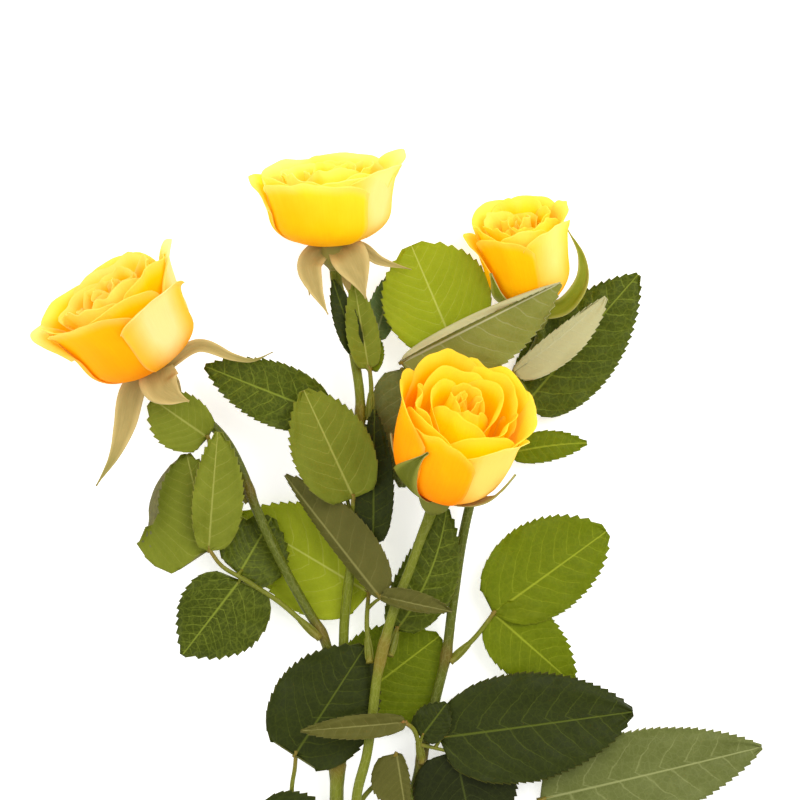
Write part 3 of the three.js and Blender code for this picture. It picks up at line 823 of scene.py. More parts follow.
class Other(Enum):
    """The finishes of everything that isn't a leaflet."""

    GOLDEN = PetalFinish("golden_petal", shade(255, 154, 0), shade(255, 200, 0),
                         shade(255, 232, 0), shade(255, 244, 130), glow=0.14, rim_highlight=0.28)
    LEMON = PetalFinish("lemon_petal", shade(255, 188, 0), shade(255, 222, 10),
                        shade(255, 240, 52), shade(255, 250, 170))
    YELLOW = PetalFinish("yellow_petal", shade(255, 172, 0), shade(255, 204, 0),
                         shade(255, 228, 6), shade(255, 248, 176), rim_highlight=0.38)
    CLEAR = PetalFinish("clear_yellow_petal", shade(255, 180, 0), shade(255, 212, 0),
                        shade(255, 234, 16), shade(255, 246, 146), rim_highlight=0.38)
    STALK = StalkFinish("stalk_green", shade(90, 98, 8), shade(114, 120, 26),
                        shade(132, 90, 38))
    DEEP = StalkFinish("deep_stalk_green", shade(62, 70, 2), shade(88, 96, 12),
                       shade(116, 78, 30))
    YOUNG = StalkFinish("young_stalk_green", shade(118, 126, 10), shade(88, 96, 4),
                        shade(146, 106, 36))
    PETIOLE = StalkFinish("petiole_green", shade(82, 90, 4), shade(110, 116, 24),
                          shade(138, 88, 40))
    PITH = PithFinish()
    SEPAL = SepalFinish("sepal_green", shade(108, 114, 16), shade(188, 184, 120),
                        shade(160, 160, 62))
    LIGHT_SEPAL = SepalFinish("sepal_light_green", shade(144, 152, 30), shade(190, 186, 130),
                              shade(188, 186, 92))
    FADED = SepalFinish("sepal_faded", shade(186, 164, 100), shade(206, 182, 116),
                        shade(220, 196, 128))


MADE: dict[str, bpy.types.Material] = {}


def material(choice: Enum) -> bpy.types.Material:
    """The material of a finish, built the first time that it is asked for.

    Args:
        choice: the finish.

    Returns:
        Its material.
    """
    finish = choice.value
    if finish.name not in MADE:
        MADE[finish.name] = finish.build()
    return MADE[finish.name]


# ---------------------------------------------------------------------------------------------
# Leaflets and leaves
# ---------------------------------------------------------------------------------------------

BASE_POWER = 0.5  # how round a blade is at its base
TIP_POWER = 0.8  # how slowly it narrows towards its tip
HALF_COLUMNS = 11  # points from the midrib to each margin
FEWEST_TEETH = 9  # on each margin of the smallest leaflet
TOOTH_TIP = 0.7  # where a tooth's tip stands on the way to the next tooth
DEEPEST_BITE = 0.62  # how deep the teeth of a large leaflet are cut, mm
SIDE_VEINS = 8.5  # pairs of side veins
VEIN_SLANT = 0.5  # how far they run forward for each mm outwards, mm
VEIN_BEND = 0.035  # and how much more for each mm beyond
BLADE_THICKNESS = 0.34  # mm
MIDRIB_THICKNESS = 0.55  # what the midrib adds to it, mm
MIDRIB_GROOVE = 0.35  # how deep the midrib is sunk at the foot of the blade, mm


def across_base(along: np.ndarray) -> tuple[np.ndarray, np.ndarray]:
    """The upward and rightward directions of a blade that points along."""
    upward = unit(UP - along * along[2])
    return upward, np.cross(along, upward)


@dataclass(frozen=True)
class Leaflet:
    """One leaflet, from its base to its tip along its midrib, with toothed margins.

    halves are the widths left and right of the midrib and fold the angles by which they rise;
    arch lifts the middle of the midrib and sweep carries it sideways, as shares of the length.
    curl turns each half further up towards its margin, from curl_from of its width on and between
    the two shares of its length in curl_along, so that past 90 degrees its underside shows. wave
    moves the margins up and down, relief raises the blade between its side veins, tooth is the
    spacing of its teeth, pointed draws its tip out, and lobe is how far each half reaches back past
    the leaflet's foot. turned shows its underside.
    """

    base: Triple
    tip: Triple
    halves: Pair
    finish: Leaf = Leaf.OLIVE
    fold: Pair = (8.0, 8.0)
    arch: float = 0.06
    sweep: float = 0.0
    curl: Pair = (0.0, 0.0)
    curl_from: float = 0.35
    curl_along: Pair = (0.0, 1.0)
    wave: float = 0.7
    relief: float = 0.32
    tone: float = 0.0
    turned: bool = False
    tooth: float = 2.3
    pointed: float = 1.0
    lobe: Pair = (1.6, 1.6)

    def add_to(self, skin: Skin, slot: int, seed: int) -> None:
        """Adds the leaflet to its leaf.

        Args:
            skin: the leaf's faces.
            slot: which of the leaf's finishes it wears.
            seed: picks its own waves and teeth.
        """
        base, tip = np.array(self.base), np.array(self.tip)
        length = float(np.linalg.norm(tip - base))
        along = (tip - base) / length
        upward, right = across_base(along)
        teeth = max(FEWEST_TEETH, round(length / self.tooth))
        start = np.arange(teeth) / teeth
        rows_at = np.sort(np.concatenate([start, start + TOOTH_TIP / teeth, [1.0]]))
        is_tooth = np.zeros(len(rows_at))
        is_tooth[1:-1:2] = 1.0
        share = 1 - (1 - np.arange(HALF_COLUMNS + 1) / HALF_COLUMNS) ** 1.25
        signed = np.concatenate([-share[::-1], share[1:]])
        u, t = np.meshgrid(rows_at, signed, indexing="ij")
        size = np.abs(t)
        tip_power = TIP_POWER * self.pointed
        widest = BASE_POWER / (BASE_POWER + tip_power)
        full = widest ** BASE_POWER * (1 - widest) ** tip_power
        outline = u ** BASE_POWER * (1 - u) ** tip_power / full
        side = np.where(t < 0, 0, 1)
        half = np.array(self.halves)[side]
        dice = np.random.default_rng(seed)
        uneven = 1 + 0.25 * dice.standard_normal(len(rows_at))[:, None]
        bite = (is_tooth[:, None] - 0.5) * uneven * smooth(size, 0.86, 1.0)
        depth = min(DEEPEST_BITE, 0.03 * float(sum(self.halves)))
        reach = np.maximum(outline * half + depth * bite * smooth(outline, 0.05, 0.4), 0.35)
        forward = 0.35 / teeth * is_tooth[:, None] * smooth(size, 0.86, 1.0)
        window = (smooth(u, self.curl_along[0] - 0.12, self.curl_along[0] + 0.12)
                  * (1 - smooth(u, self.curl_along[1] - 0.12, self.curl_along[1] + 0.12))
                  if self.curl_along != (0.0, 1.0) else np.ones_like(u))
        angle = np.radians(np.array(self.fold)[side]
                           + np.array(self.curl)[side] * window * smooth(size, self.curl_from, 1.0))
        outward = running(np.cos(angle), t, 1)
        outward = outward - outward[:, HALF_COLUMNS:HALF_COLUMNS + 1]
        rise = running(np.sin(angle) * np.sign(t), t, 1)
        rise = rise - rise[:, HALF_COLUMNS:HALF_COLUMNS + 1]
        bow = 4 * u * (1 - u) * length
        lift = self.arch * bow + rise * reach
        lift = lift + self.wave * ripple(u * 2, t, seed, (2.2, 1.6)) * size ** 2 * smooth(u, 0, 0.2)
        lift = lift + 0.5 * self.wave * ripple(u, t, seed + 7, (3.0, 2.0)) * size
        width = t * reach
        spacing = length / SIDE_VEINS
        phase = (u * length - VEIN_SLANT * np.abs(width) - VEIN_BEND * width ** 2) / spacing
        phase = phase + 0.5 * (t < 0)
        crest = np.abs(np.abs((phase % 1.0) - 0.5) * -2 + 1)
        quilt = (crest ** 0.6 - 0.6) * smooth(size, 0.06, 0.3) * (1 - smooth(size, 0.88, 1.0))
        lift = lift + self.relief * quilt * smooth(u, 0.02, 0.12)
        lift = lift - MIDRIB_GROOVE * np.exp(-(width / 0.7) ** 2) * (1 - u)
        back = (np.array(self.lobe)[side] * size ** 1.5
                * smooth(u, 0.0, 0.06) * (1 - smooth(u, 0.06, 0.45)))
        ahead = (u + forward) * length - back
        grid = (base + along * ahead[..., None] + upward * lift[..., None]
                + right * (self.sweep * bow + outward * reach)[..., None])
        thickness = BLADE_THICKNESS - 0.16 * smooth(size, 0.5, 1.0)
        thickness = thickness + MIDRIB_THICKNESS * np.exp(-(width / 0.55) ** 2) * (1 - 0.75 * u)
        flat = np.stack([u * length, width + 61.0 * (seed % 17), 0 * u], axis=-1)
        skin.add_sheet(grid, thickness, slot, flat, {
            "along": u, "across": width, "tone": self.tone, "rib": phase, "pale": size},
            turned=self.turned)


ROOTED = 2.4  # how far a leaf's stalk is let into the shoot that it grows on, mm
FOOT_SWELLING = 0.35  # how much thicker it is where it leaves the shoot
STALK_TAPER = 0.32  # the share of its radius that it loses up to its last leaflet
BRANCH_RADIUS = 0.72  # a side stalk's radius against the first one's
FOOT_SUNK = 0.42  # how deep a leaflet's foot lies under the blade, mm
FOOT_RADII = (0.62, 0.28)  # mm
STIPULE_LENGTH = 8.0  # mm


@dataclass
class CompoundLeaf:
    """A leaf of one to four leaflets on its stalks, one grown piece.

    The first of its stalks springs from a shoot and the others branch off it. flush is how red they
    are where they join.
    """

    name: str
    slot: str
    stalks: list[list[Triple]]
    leaflets: list[Leaflet]
    flush: float = 0.55
    stalk_radius: float = 0.95

    def build(self, seed: int) -> None:
        """Builds the leaf's one piece.

        Args:
            seed: picks its waves.
        """
        skin = Skin()
        finishes = [material(Other.PETIOLE)]
        for index, points in enumerate(self.stalks):
            first = index == 0
            steps = 26 if first else 14
            if first:
                start = np.array(points[0])
                points = [tuple(start - ROOTED * unit(np.array(points[1]) - start)), *points]
            line = spline(points, steps)
            share = np.linspace(0.0, 1.0, steps + 1)
            radius = self.stalk_radius * (1.0 if first else BRANCH_RADIUS)
            radii = radius * (1.0 - STALK_TAPER * share)
            if first:
                radii = radii * (1 + FOOT_SWELLING * np.exp(-(share / 0.07) ** 2))
            tone = self.flush * (0.5 * np.exp(-(share / 0.1) ** 2) + 0.9 * smooth(share, 0.75, 1.0)
                                 + 0.1)
            skin.add_rod(line, radii, 0, 10, tone)
            if first:
                self._add_stipules(skin, line)
        for index, leaflet in enumerate(self.leaflets):
            finish = material(leaflet.finish)
            if finish not in finishes:
                finishes.append(finish)
            leaflet.add_to(skin, finishes.index(finish), seed * 31 + index * 7)
            self._add_foot(skin, leaflet)
        deliver(skin, f"{self.name}_visual", self.name, finishes)

    def _add_foot(self, skin: Skin, leaflet: Leaflet) -> None:
        """Adds the short thick foot of a leaflet, which runs into its midrib.

        Args:
            skin: the leaf's faces.
            leaflet: the leaflet that stands on it.
        """
        base, tip = np.array(leaflet.base), np.array(leaflet.tip)
        length = float(np.linalg.norm(tip - base))
        along = (tip - base) / length
        upward, right = across_base(along)
        u = np.linspace(-0.02, 0.3, 12)
        bow = 4 * u * (1 - u) * length
        line = (base + along * (u * length)[:, None]
                + upward * (leaflet.arch * bow - FOOT_SUNK)[:, None]
                + right * (leaflet.sweep * bow)[:, None])
        skin.add_rod(line, np.linspace(*FOOT_RADII, len(u)), 0, 8,
                     np.linspace(self.flush, 0.1, len(u)))

    def _add_stipules(self, skin: Skin, line: np.ndarray) -> None:
        """Adds the two small wings at the foot of the stalk.

        Args:
            skin: the leaf's faces.
            line: the middle of the stalk.
        """
        walked = np.linalg.norm(line - line[0], axis=1)
        count = int(np.clip(np.searchsorted(walked, STIPULE_LENGTH), 4, len(line) - 1))
        path = evenly(line[:count + 1], 12)
        ahead = unit(np.gradient(path, axis=0))
        right = unit(np.cross(ahead, UP))
        share = np.linspace(0.0, 1.0, len(path))
        width = 0.55 * np.sin(math.pi * share ** 0.7) + 0.85
        t = np.linspace(-1.0, 1.0, 7)
        grid = (path[:, None, :] + right[:, None, :] * (t * width[:, None])[..., None]
                + UP * (0.5 * np.abs(t) ** 2 * share[:, None])[..., None])
        u, v = np.meshgrid(share, t, indexing="ij")
        flat = np.stack([v * 2, u * STIPULE_LENGTH, 0 * u], axis=-1)
        skin.add_sheet(grid, 0.3, 0, flat,
                       {"along": u, "tone": 0.15 * self.flush, "pale": np.abs(v)})


# ---------------------------------------------------------------------------------------------
# Blooms
# ---------------------------------------------------------------------------------------------

RECEPTACLE_RADIUS = 3.2  # where the petals spring from, mm
HIP_HEIGHT = 8.0  # mm
NECK_LENGTH = 3.5  # the straight end of a shoot under its hip, mm
WHORLS = ("outer", "inner")
PETALS_PER_WHORL = 4
PETAL_ROWS = 22  # points from a petal's foot to its rim
PETAL_COLUMNS = 25  # points from side to side
PETAL_THICKNESS = 0.42  # at its foot, mm
FLARE_REACH = 1.35  # how much of a petal's flare its rim ends up with
SEPAL_THICKNESS = 0.4  # mm
OUTLINE_STEPS = 80  # steps of the cup's outline under a sepal
SEPAL_GAP = 1.0  # how far a sepal stands off the cup, mm


@dataclass(frozen=True)
class Petal:
    """One petal of a bloom, a shell around the bloom's axis.

    turn is where its middle stands, 0 where the bloom faces up and 90 on its right, and spread half
    of the turn that it covers. scale is its distance from the axis against the cup's own, and height
    its height against the cup's. flare turns its rim outwards, and side_flare its upper corners,
    which leaves a point between them; both start at flare_from of the height. drop rounds its upper
    corners off, the more squarely the higher shoulder is, point draws out the middle of its rim and
    notch cuts it in beside the middle. swirl brings one side in and the other out, and ruffle
    crumples it towards the rim. lip rolls the very rim outwards, in degrees. tone deepens its colour
    and pale makes it paler; on the outer petals both partly carry painted light, painted shade on
    the bloom's left and painted highlight on its right, where the light falls. painted_shade_left
    makes the left side deeper in colour than the right, as painted shade.
    """

    turn: float
    spread: float = 58.0
    scale: float = 1.0
    height: float = 1.0
    flare: float = 12.0
    side_flare: float = 20.0
    flare_from: float = 0.74
    drop: float = 0.3
    shoulder: float = 3.4
    point: float = 0.015
    swirl: float = 0.035
    ruffle: float = 0.5
    tone: float = 0.0
    pale: float = 0.0
    notch: float = 0.0
    lip: float = 18.0
    painted_shade_left: float = 0.0


@dataclass(frozen=True)
class Sepal:
    """A free sepal along a line of points, with its outer side up, or its inner side if turned."""

    path: tuple[Triple, ...]
    width: float
    curl: float = 25.0
    turned: bool = False
    tone_tip: float = 0.0


@dataclass(frozen=True)
class HuggingSepal:
    """A sepal that lies against the cup; turn as for a petal, length as a share of the outline.

    away lifts its tip off the cup, in millimetres, and bend carries it round the cup, in degrees.
    """

    turn: float
    length: float
    width: float
    away: float = 0.0
    bend: float = 0.0


@dataclass
class Bloom:
    """A rose on its hip: a cup of petals round a crumpled heart, with five sepals under it.

    lean is the turn of its axis to the right of +Y and tilt its angle above the surface. belly and
    rim are its radii, and fullness is how wide its foot is at two heights, as shares of the belly.
    The heart's pairs go from its outermost petal to its innermost. heart_turn is where the outermost
    stands, heart_lean keeps the petals of the upper side from flaring, and heart_shift is how far
    the innermost stands off the axis, to the front and to the right.
    """

    name: str
    lean: float
    tilt: float
    receptacle: Triple
    height: float
    belly: float
    rim: float
    finish: Other
    slot: str
    calyx_finish: Other
    calyx_slot: str
    petals: list[Petal]
    heart_petals: int
    heart_reach: Pair
    heart_height: Pair
    heart_ruffle: Pair
    heart_flare: Pair
    heart_tone: Pair
    heart_pale: float
    sepals: list[Sepal] = field(default_factory=list)
    hugging: list[HuggingSepal] = field(default_factory=list)
    hip_radius: float = 4.7
    fullness: Pair = (0.62, 0.93)
    heart_turn: float = 40.0
    heart_lean: float = 22.0
    heart_shift: Pair = (-1.5, -0.5)

    def axes(self) -> tuple[np.ndarray, np.ndarray, np.ndarray]:
        """The directions that the bloom's own X, Y and Z point in.

        Returns:
            The direction that it faces, its right and its axis.
        """
        turn, rise = math.radians(self.lean), math.radians(self.tilt)
        axis = np.array((math.sin(turn) * math.cos(rise), math.cos(turn) * math.cos(rise),
                         math.sin(rise)))
        facing = unit(UP - axis * axis[2])
        return facing, np.cross(axis, facing), axis

    def place(self, local: np.ndarray) -> np.ndarray:
        """Points of the bloom's own axes, in the plant's."""
        facing, right, axis = self.axes()
        return (np.array(self.receptacle) + local[..., :1] * facing + local[..., 1:2] * right
                + local[..., 2:] * axis)

    def outline(self, steps: int = 60) -> np.ndarray:
        """The cup's outline from its foot to its rim.

        Args:
            steps: the number of equal steps.

        Returns:
            A radius and a height at each of steps + 1 places.
        """
        high, wide = self.height, self.belly
        low, middle = self.fullness
        return spline([(RECEPTACLE_RADIUS, 0.9), (low * wide, 0.1 * high),
                       (middle * wide, 0.28 * high), (wide, 0.52 * high),
                       ((wide + self.rim) / 2, 0.8 * high), (self.rim, high)], steps)

    def sheet(self, petal: Petal, seed: int) -> tuple[np.ndarray, ...]:
        """The middle surface of a petal.

        Args:
            petal: the petal.
            seed: picks its ripples.

        Returns:
            The points, the share of the cup's height and the side place at each, the flat places
            and the share of the petal's own height.
        """
        outline = self.outline() * np.array((petal.scale, petal.height))
        outline[:, 0] = np.maximum(outline[:, 0], 1.2 * petal.scale + 0.5)
        steps = np.diff(outline, axis=0)
        lengths = np.linalg.norm(steps, axis=1)
        walked = np.concatenate([[0.0], np.cumsum(lengths)])
        heading = np.unwrap(np.arctan2(*np.gradient(outline, axis=0).T[::-1]))
        v = np.linspace(-1.0, 1.0, PETAL_COLUMNS)
        top = (1 - petal.drop * np.abs(v) ** petal.shoulder + petal.point * np.exp(-(v / 0.16) ** 2)
               - petal.notch * np.exp(-((v - 0.25) / 0.12) ** 2))
        top = top + 0.012 * ripple(0 * v, v, seed + 3, (1.0, 4.0), 2)
        share = 1 - (1 - np.linspace(0.0, 1.0, PETAL_ROWS)) ** 1.4
        own, t = np.meshgrid(share, v, indexing="ij")
        u = own * top
        place = np.clip(u, 0, 1) * walked[-1]
        turned = np.interp(place, walked, heading)
        flare = petal.flare + petal.side_flare * np.abs(t) ** 1.6
        turned = turned - np.radians(flare) * smooth(u, petal.flare_from, 1.04) * FLARE_REACH
        uneven = 1 + 0.5 * ripple(0 * t, t, seed + 23, (1.0, 2.0), 2)
        turned = turned - np.radians(petal.lip) * uneven * smooth(own, 0.9, 1.0)
        distance = u * walked[-1]
        radius = outline[0, 0] + running(np.cos(turned), distance, 0)
        rise = outline[0, 1] + running(np.sin(turned), distance, 0)
        radius = radius * (1 + petal.swirl * t)
        radius = radius + petal.ruffle * ripple(u * 1.1, t, seed, (1.4, 2.2), 2) * u ** 1.6
        radius = radius + 0.22 * petal.ruffle * ripple(u, t, seed + 11, (3.0, 5.0), 2) * u ** 2.5
        rise = rise + 0.5 * petal.ruffle * ripple(u, t, seed + 5, (1.2, 3.0), 2) * u ** 3
        covered = petal.spread * (0.74 + 0.26 * smooth(u, 0.0, 0.55) - 0.08 * u)
        angle = np.radians(petal.turn + t * covered)
        local = np.stack([radius * np.cos(angle), radius * np.sin(angle), rise], axis=-1)
        flat = np.stack([t * math.radians(petal.spread) * self.belly * petal.scale
                         + 83.0 * (seed % 13), u * walked[-1], 0 * u], axis=-1)
        return local, u, t, flat, own

    def add_petal(self, skin: Skin, petal: Petal, seed: int, shift: Pair = (0.0, 0.0)) -> None:
        """Adds a petal.

        Args:
            skin: where it goes.
            petal: the petal.
            seed: picks its ripples.
            shift: how far its rim stands off the bloom's axis, to the front and to the right.
        """
        local, u, t, flat, own = self.sheet(petal, seed)
        local[..., :2] += np.array(shift) * u[..., None]
        # paler across the middle of the petal: partly its own paleness, partly painted highlight on the
        # outer petals that face the light; the side-to-side slope of the tone below is painted shade
        pale = petal.pale * np.exp(-(t / 0.6) ** 2) * smooth(u, 0.15, 0.7)
        thickness = PETAL_THICKNESS - 0.2 * smooth(u, 0.3, 1.0) - 0.06 * np.abs(t)
        skin.add_sheet(self.place(local), thickness, 0, flat, {
            "along": u, "across": t, "tone": petal.tone - petal.painted_shade_left * t, "pale": pale,
            "rib": own})

    def build(self, seed: int) -> None:
        """Builds the bloom's pieces: calyx, free petals and heart.

        Args:
            seed: picks its ripples.
        """
        self._build_calyx(seed)
        finishes = [material(self.finish)]
        for index, petal in enumerate(self.petals):
            whorl, number = divmod(index, PETALS_PER_WHORL)
            skin = Skin()
            self.add_petal(skin, petal, seed + index * 17)
            node = f"{self.name}_{WHORLS[whorl]}_petal_{number + 1}"
            deliver(skin, f"{node}_visual", node, finishes)
        skin = Skin()
        dice = np.random.default_rng(seed)
        for index in range(self.heart_petals):
            share = index / (self.heart_petals - 1)
            loose = dice.uniform(-1.0, 1.0, 4)
            turn = self.heart_turn + GOLDEN_TURN * index + 9 * loose[0]
            petal = Petal(
                turn=turn, spread=58 + 40 * share, scale=between(self.heart_reach, share ** 0.9),
                height=between(self.heart_height, share) * (1 + 0.045 * loose[1]),
                flare=(between(self.heart_flare, share) + 7 * loose[2]
                       - self.heart_lean * max(0.0, math.cos(math.radians(turn)))),
                side_flare=12, flare_from=0.66, drop=0.22, point=0.0, swirl=0.08 + 0.08 * share,
                ruffle=between(self.heart_ruffle, share),
                tone=between(self.heart_tone, share) + 0.25 * loose[0], lip=20,
                pale=self.heart_pale * max(0.0, loose[3]))
            shift = (self.heart_shift[0] * share, self.heart_shift[1] * share)
            self.add_petal(skin, petal, seed + 200 + index * 19, shift)
        node = f"{self.name}_heart"
        deliver(skin, f"{node}_visual", node, finishes)

    def _build_calyx(self, seed: int) -> None:
        """Builds the hip with its sepals, one grown piece.

        Args:
            seed: picks the sepals' ripples.
        """
        skin = Skin()
        heights = np.array((-8.15, -7.4, -6.2, -4.6, -2.8, -1.2, 0.0, 0.9, 1.3))
        wide = np.array((0.42, 0.5, 0.74, 0.94, 1.0, 0.97, 0.92, 0.84, 0.6)) * self.hip_radius
        walk = np.linspace(0.0, 1.0, 22)
        known = np.linspace(0, 1, len(heights))
        place, radii = np.interp(walk, known, heights), np.interp(walk, known, wide)
        line = self.place(np.stack([0 * place, 0 * place, place], axis=-1))
        skin.add_rod(line, radii, 0, 20, tone=0.85, ribs=(5, 0.03))
        for index, sepal in enumerate(self.hugging):
            self._add_hugging(skin, sepal, seed + index)
        for index, sepal in enumerate(self.sepals):
            self._add_free(skin, sepal, seed + 9 + index)
        node = f"{self.name}_calyx"
        deliver(skin, f"{node}_visual", node, [material(self.calyx_finish)])

    def _add_hugging(self, skin: Skin, sepal: HuggingSepal, seed: int) -> None:
        """Adds a sepal that lies against the cup.

        Args:
            skin: where it goes.
            sepal: the sepal.
            seed: picks its ripples.
        """
        outline = self.outline(OUTLINE_STEPS)
        headings = unit(np.gradient(outline, axis=0))
        share = np.linspace(0.0, 1.0, 26)
        place = share * sepal.length * OUTLINE_STEPS
        known = np.arange(OUTLINE_STEPS + 1)
        radius, rise = (np.interp(place, known, outline[:, k]) for k in (0, 1))
        ahead = np.stack([np.interp(place, known, headings[:, k]) for k in (0, 1)], axis=-1)
        gap = SEPAL_GAP + sepal.away * share ** 2
        radius, rise = radius + ahead[:, 1] * gap, rise - ahead[:, 0] * gap
        rise = rise - 1.6 * np.clip(1 - 5 * share, 0, 1)
        wide = sepal.width * sepal_width(share)
        t = np.linspace(-1.0, 1.0, 11)
        u, v = np.meshgrid(share, t, indexing="ij")
        angle = np.clip((wide / radius)[:, None] * t, -0.6, 0.6) + math.radians(sepal.turn)
        angle = angle + math.radians(sepal.bend) * u ** 2
        bulge = 0.5 * (np.abs(v) ** 2) * smooth(u, 0.1, 0.5) + 0.35 * ripple(u, v, seed, (2, 2)) * u
        local = np.stack([(radius[:, None] + bulge) * np.cos(angle),
                          (radius[:, None] + bulge) * np.sin(angle),
                          rise[:, None] + 0 * v], axis=-1)
        flat = np.stack([v * sepal.width, u * 30, 0 * u], axis=-1)
        tone = 0.35 * (1 - smooth(u, 0.0, 0.25))
        # a sepal is thinnest at its margins
        skin.add_sheet(self.place(local), SEPAL_THICKNESS - 0.15 * np.abs(v), 0, flat,
                       {"along": u, "across": v, "tone": tone, "pale": np.abs(v)})

    def _add_free(self, skin: Skin, sepal: Sepal, seed: int) -> None:
        """Adds a sepal that stands or hangs free.

        Args:
            skin: where it goes.
            sepal: the sepal.
            seed: picks its ripples.
        """
        line = spline(sepal.path, 34)
        share = np.linspace(0.0, 1.0, len(line))
        ahead = unit(np.gradient(line, axis=0))
        upward = unit(UP - ahead * ahead[:, 2:])
        right = np.cross(ahead, upward)
        wide = (sepal.width * sepal_width(share))[:, None]
        t = np.linspace(-1.0, 1.0, 13)
        angle = np.radians(sepal.curl) * np.abs(t)
        outward = running(np.cos(angle), t, 0)
        middle = len(t) // 2
        outward = outward - outward[middle]
        lift = running(np.sin(angle) * np.sign(t), t, 0)
        lift = lift - lift[middle]
        u, v = np.meshgrid(share, t, indexing="ij")
        wave = 0.35 * ripple(u * 2, v, seed, (2, 2)) * np.minimum(wide, 3) / 3
        grid = (line[:, None, :] + right[:, None, :] * (wide * outward[None, :])[..., None]
                + upward[:, None, :] * (wide * lift[None, :] + wave)[..., None])
        length = float(np.linalg.norm(np.diff(line, axis=0), axis=1).sum())
        flat = np.stack([v * wide, u * length, 0 * u], axis=-1)
        tone = 0.4 * (1 - smooth(u, 0.0, 0.2)) + sepal.tone_tip * smooth(u, 0.55, 0.9)
        skin.add_sheet(grid, SEPAL_THICKNESS - 0.15 * np.abs(v), 0, flat,
                       {"along": u, "across": v, "tone": tone, "pale": np.abs(v)},
                       turned=sepal.turned)


def sepal_width(share: np.ndarray) -> np.ndarray:
    """How wide a sepal is along its length, with a long thin tip."""
    return np.maximum((1 - share) ** 0.9 * (0.72 + 1.1 * np.sin(math.pi * share) ** 1.2 * 0.55), 0.05)


# ---------------------------------------------------------------------------------------------
# Stems
# ---------------------------------------------------------------------------------------------

NODE_REACH = 7.0  # how near a leaf or shoot has to start to swell the stem, mm
STEM_SIDES = 18


@dataclass
class Stalk:
    """A stem with swollen, flushed nodes where leaves and shoots spring from it.

    swelling is how much thicker the nodes are, neck how much thicker it gets under a hip, both as
    shares of the radius. cut is how steeply its lower end is cut, as rise over run, and spacing the
    distance between its rings.
    """

    name: str
    points: list[Triple]
    radii: Pair
    finish: Other
    joints: list[Triple]
    swelling: float = 0.24
    cut: float = 0.0
    neck: float = 0.0
    spacing: float = 1.5

    def build(self) -> None:
        """Builds the stem's one piece."""
        rough = spline(self.points, 200)
        length = float(np.linalg.norm(np.diff(rough, axis=0), axis=1).sum())
        line = evenly(rough, int(length / self.spacing))
        share = np.linspace(0.0, 1.0, len(line))
        radii = between(self.radii, share)
        radii = radii * (1 + 0.02 * ripple(share * 9, 0 * share, len(self.name)))
        tone = np.zeros(len(line))
        for joint in self.joints:
            gap = np.linalg.norm(line - np.array(joint), axis=1)
            near = int(gap.argmin())
            if gap[near] > NODE_REACH:
                continue
            walked = (share - share[near]) * length
            radii = radii * (1 + self.swelling * np.exp(-(walked / 2.4) ** 2))
            tone = np.maximum(tone, 0.55 * np.exp(-(walked / 4.0) ** 2))
        radii = radii * (1 + self.neck * smooth(share, 0.9, 1.0))
        skin = Skin()
        skin.add_rod(line, radii, 0, STEM_SIDES, tone, cut=self.cut,
                     cut_slot=1 if self.cut else None)
        finishes = [material(self.finish)] + ([material(Other.PITH)] if self.cut else [])
        deliver(skin, f"{self.name}_visual", self.name, finishes)


# ---------------------------------------------------------------------------------------------
# The plant
# ---------------------------------------------------------------------------------------------

CUT_SLOPE = 35.0  # degrees
STEM_RADII = (2.35, 2.2)  # mm
SHOOT_RADII = (1.62, 1.5)  # mm
MAIN_STEM = [(-8, -185.3, 2.35), (-13, -150, 3.4), (-17, -100, 5), (-19.4, -55, 6.6),
             (-20.2, -22, 7.6), (-19.8, 8, 8), (-19.8, 10.5, 8)]

SHOOTS = {
    "front_rose": [(-20.0, -33, 7.2), (-17.6, -27, 7.8), (-15.6, -20, 9.2), (-14.6, -12, 11),
                   (-13.3, 1.5, 14.6), (-10.5, 12.4, 16.2), (-8.7, 24.8, 17.4), (-7.2, 37, 18.2),
                   (-4.3, 50.5, 18.6), (-0.6, 62, 18.6), (2.8, 70.5, 18.2), (6.6, 81, 17.6)],
    "top_rose": [(-19.8, -2, 7.9), (-18.6, 9, 8.2), (-17.4, 22, 9.4), (-17.6, 38, 10.6),
                 (-17.6, 52, 12), (-16.6, 63, 13.2), (-15, 75, 14), (-13.6, 88, 14.2),
                 (-12.9, 106, 14.2), (-12.5, 124, 14.2), (-14.6, 139, 13.8), (-17.6, 153, 14)],
    "left_rose": [(-19.9, -2, 7.9), (-21.0, 9, 8.2), (-21.8, 20, 9.6), (-21.6, 36, 10.8),
                  (-23.4, 48, 12), (-29, 58, 12.6), (-35.4, 69.5, 13), (-40.6, 80, 13.2),
                  (-45.6, 91, 13), (-49.8, 102, 11.2), (-55, 111.5, 9.4), (-61.4, 118, 9.2)],
    "right_rose": [(-19.6, -50, 6.8), (-17.6, -43, 7.0), (-14.6, -34, 7.2), (-10.5, -25, 7.4),
                   (-2.6, -11, 7.8), (4.2, 1, 8), (7.2, 13, 8.3), (11.2, 29.8, 8.8),
                   (14.6, 44, 9.3), (16.4, 58.3, 9.6), (20.4, 84, 9.2), (26.6, 107, 8.5),
                   (35.6, 129, 7)]}
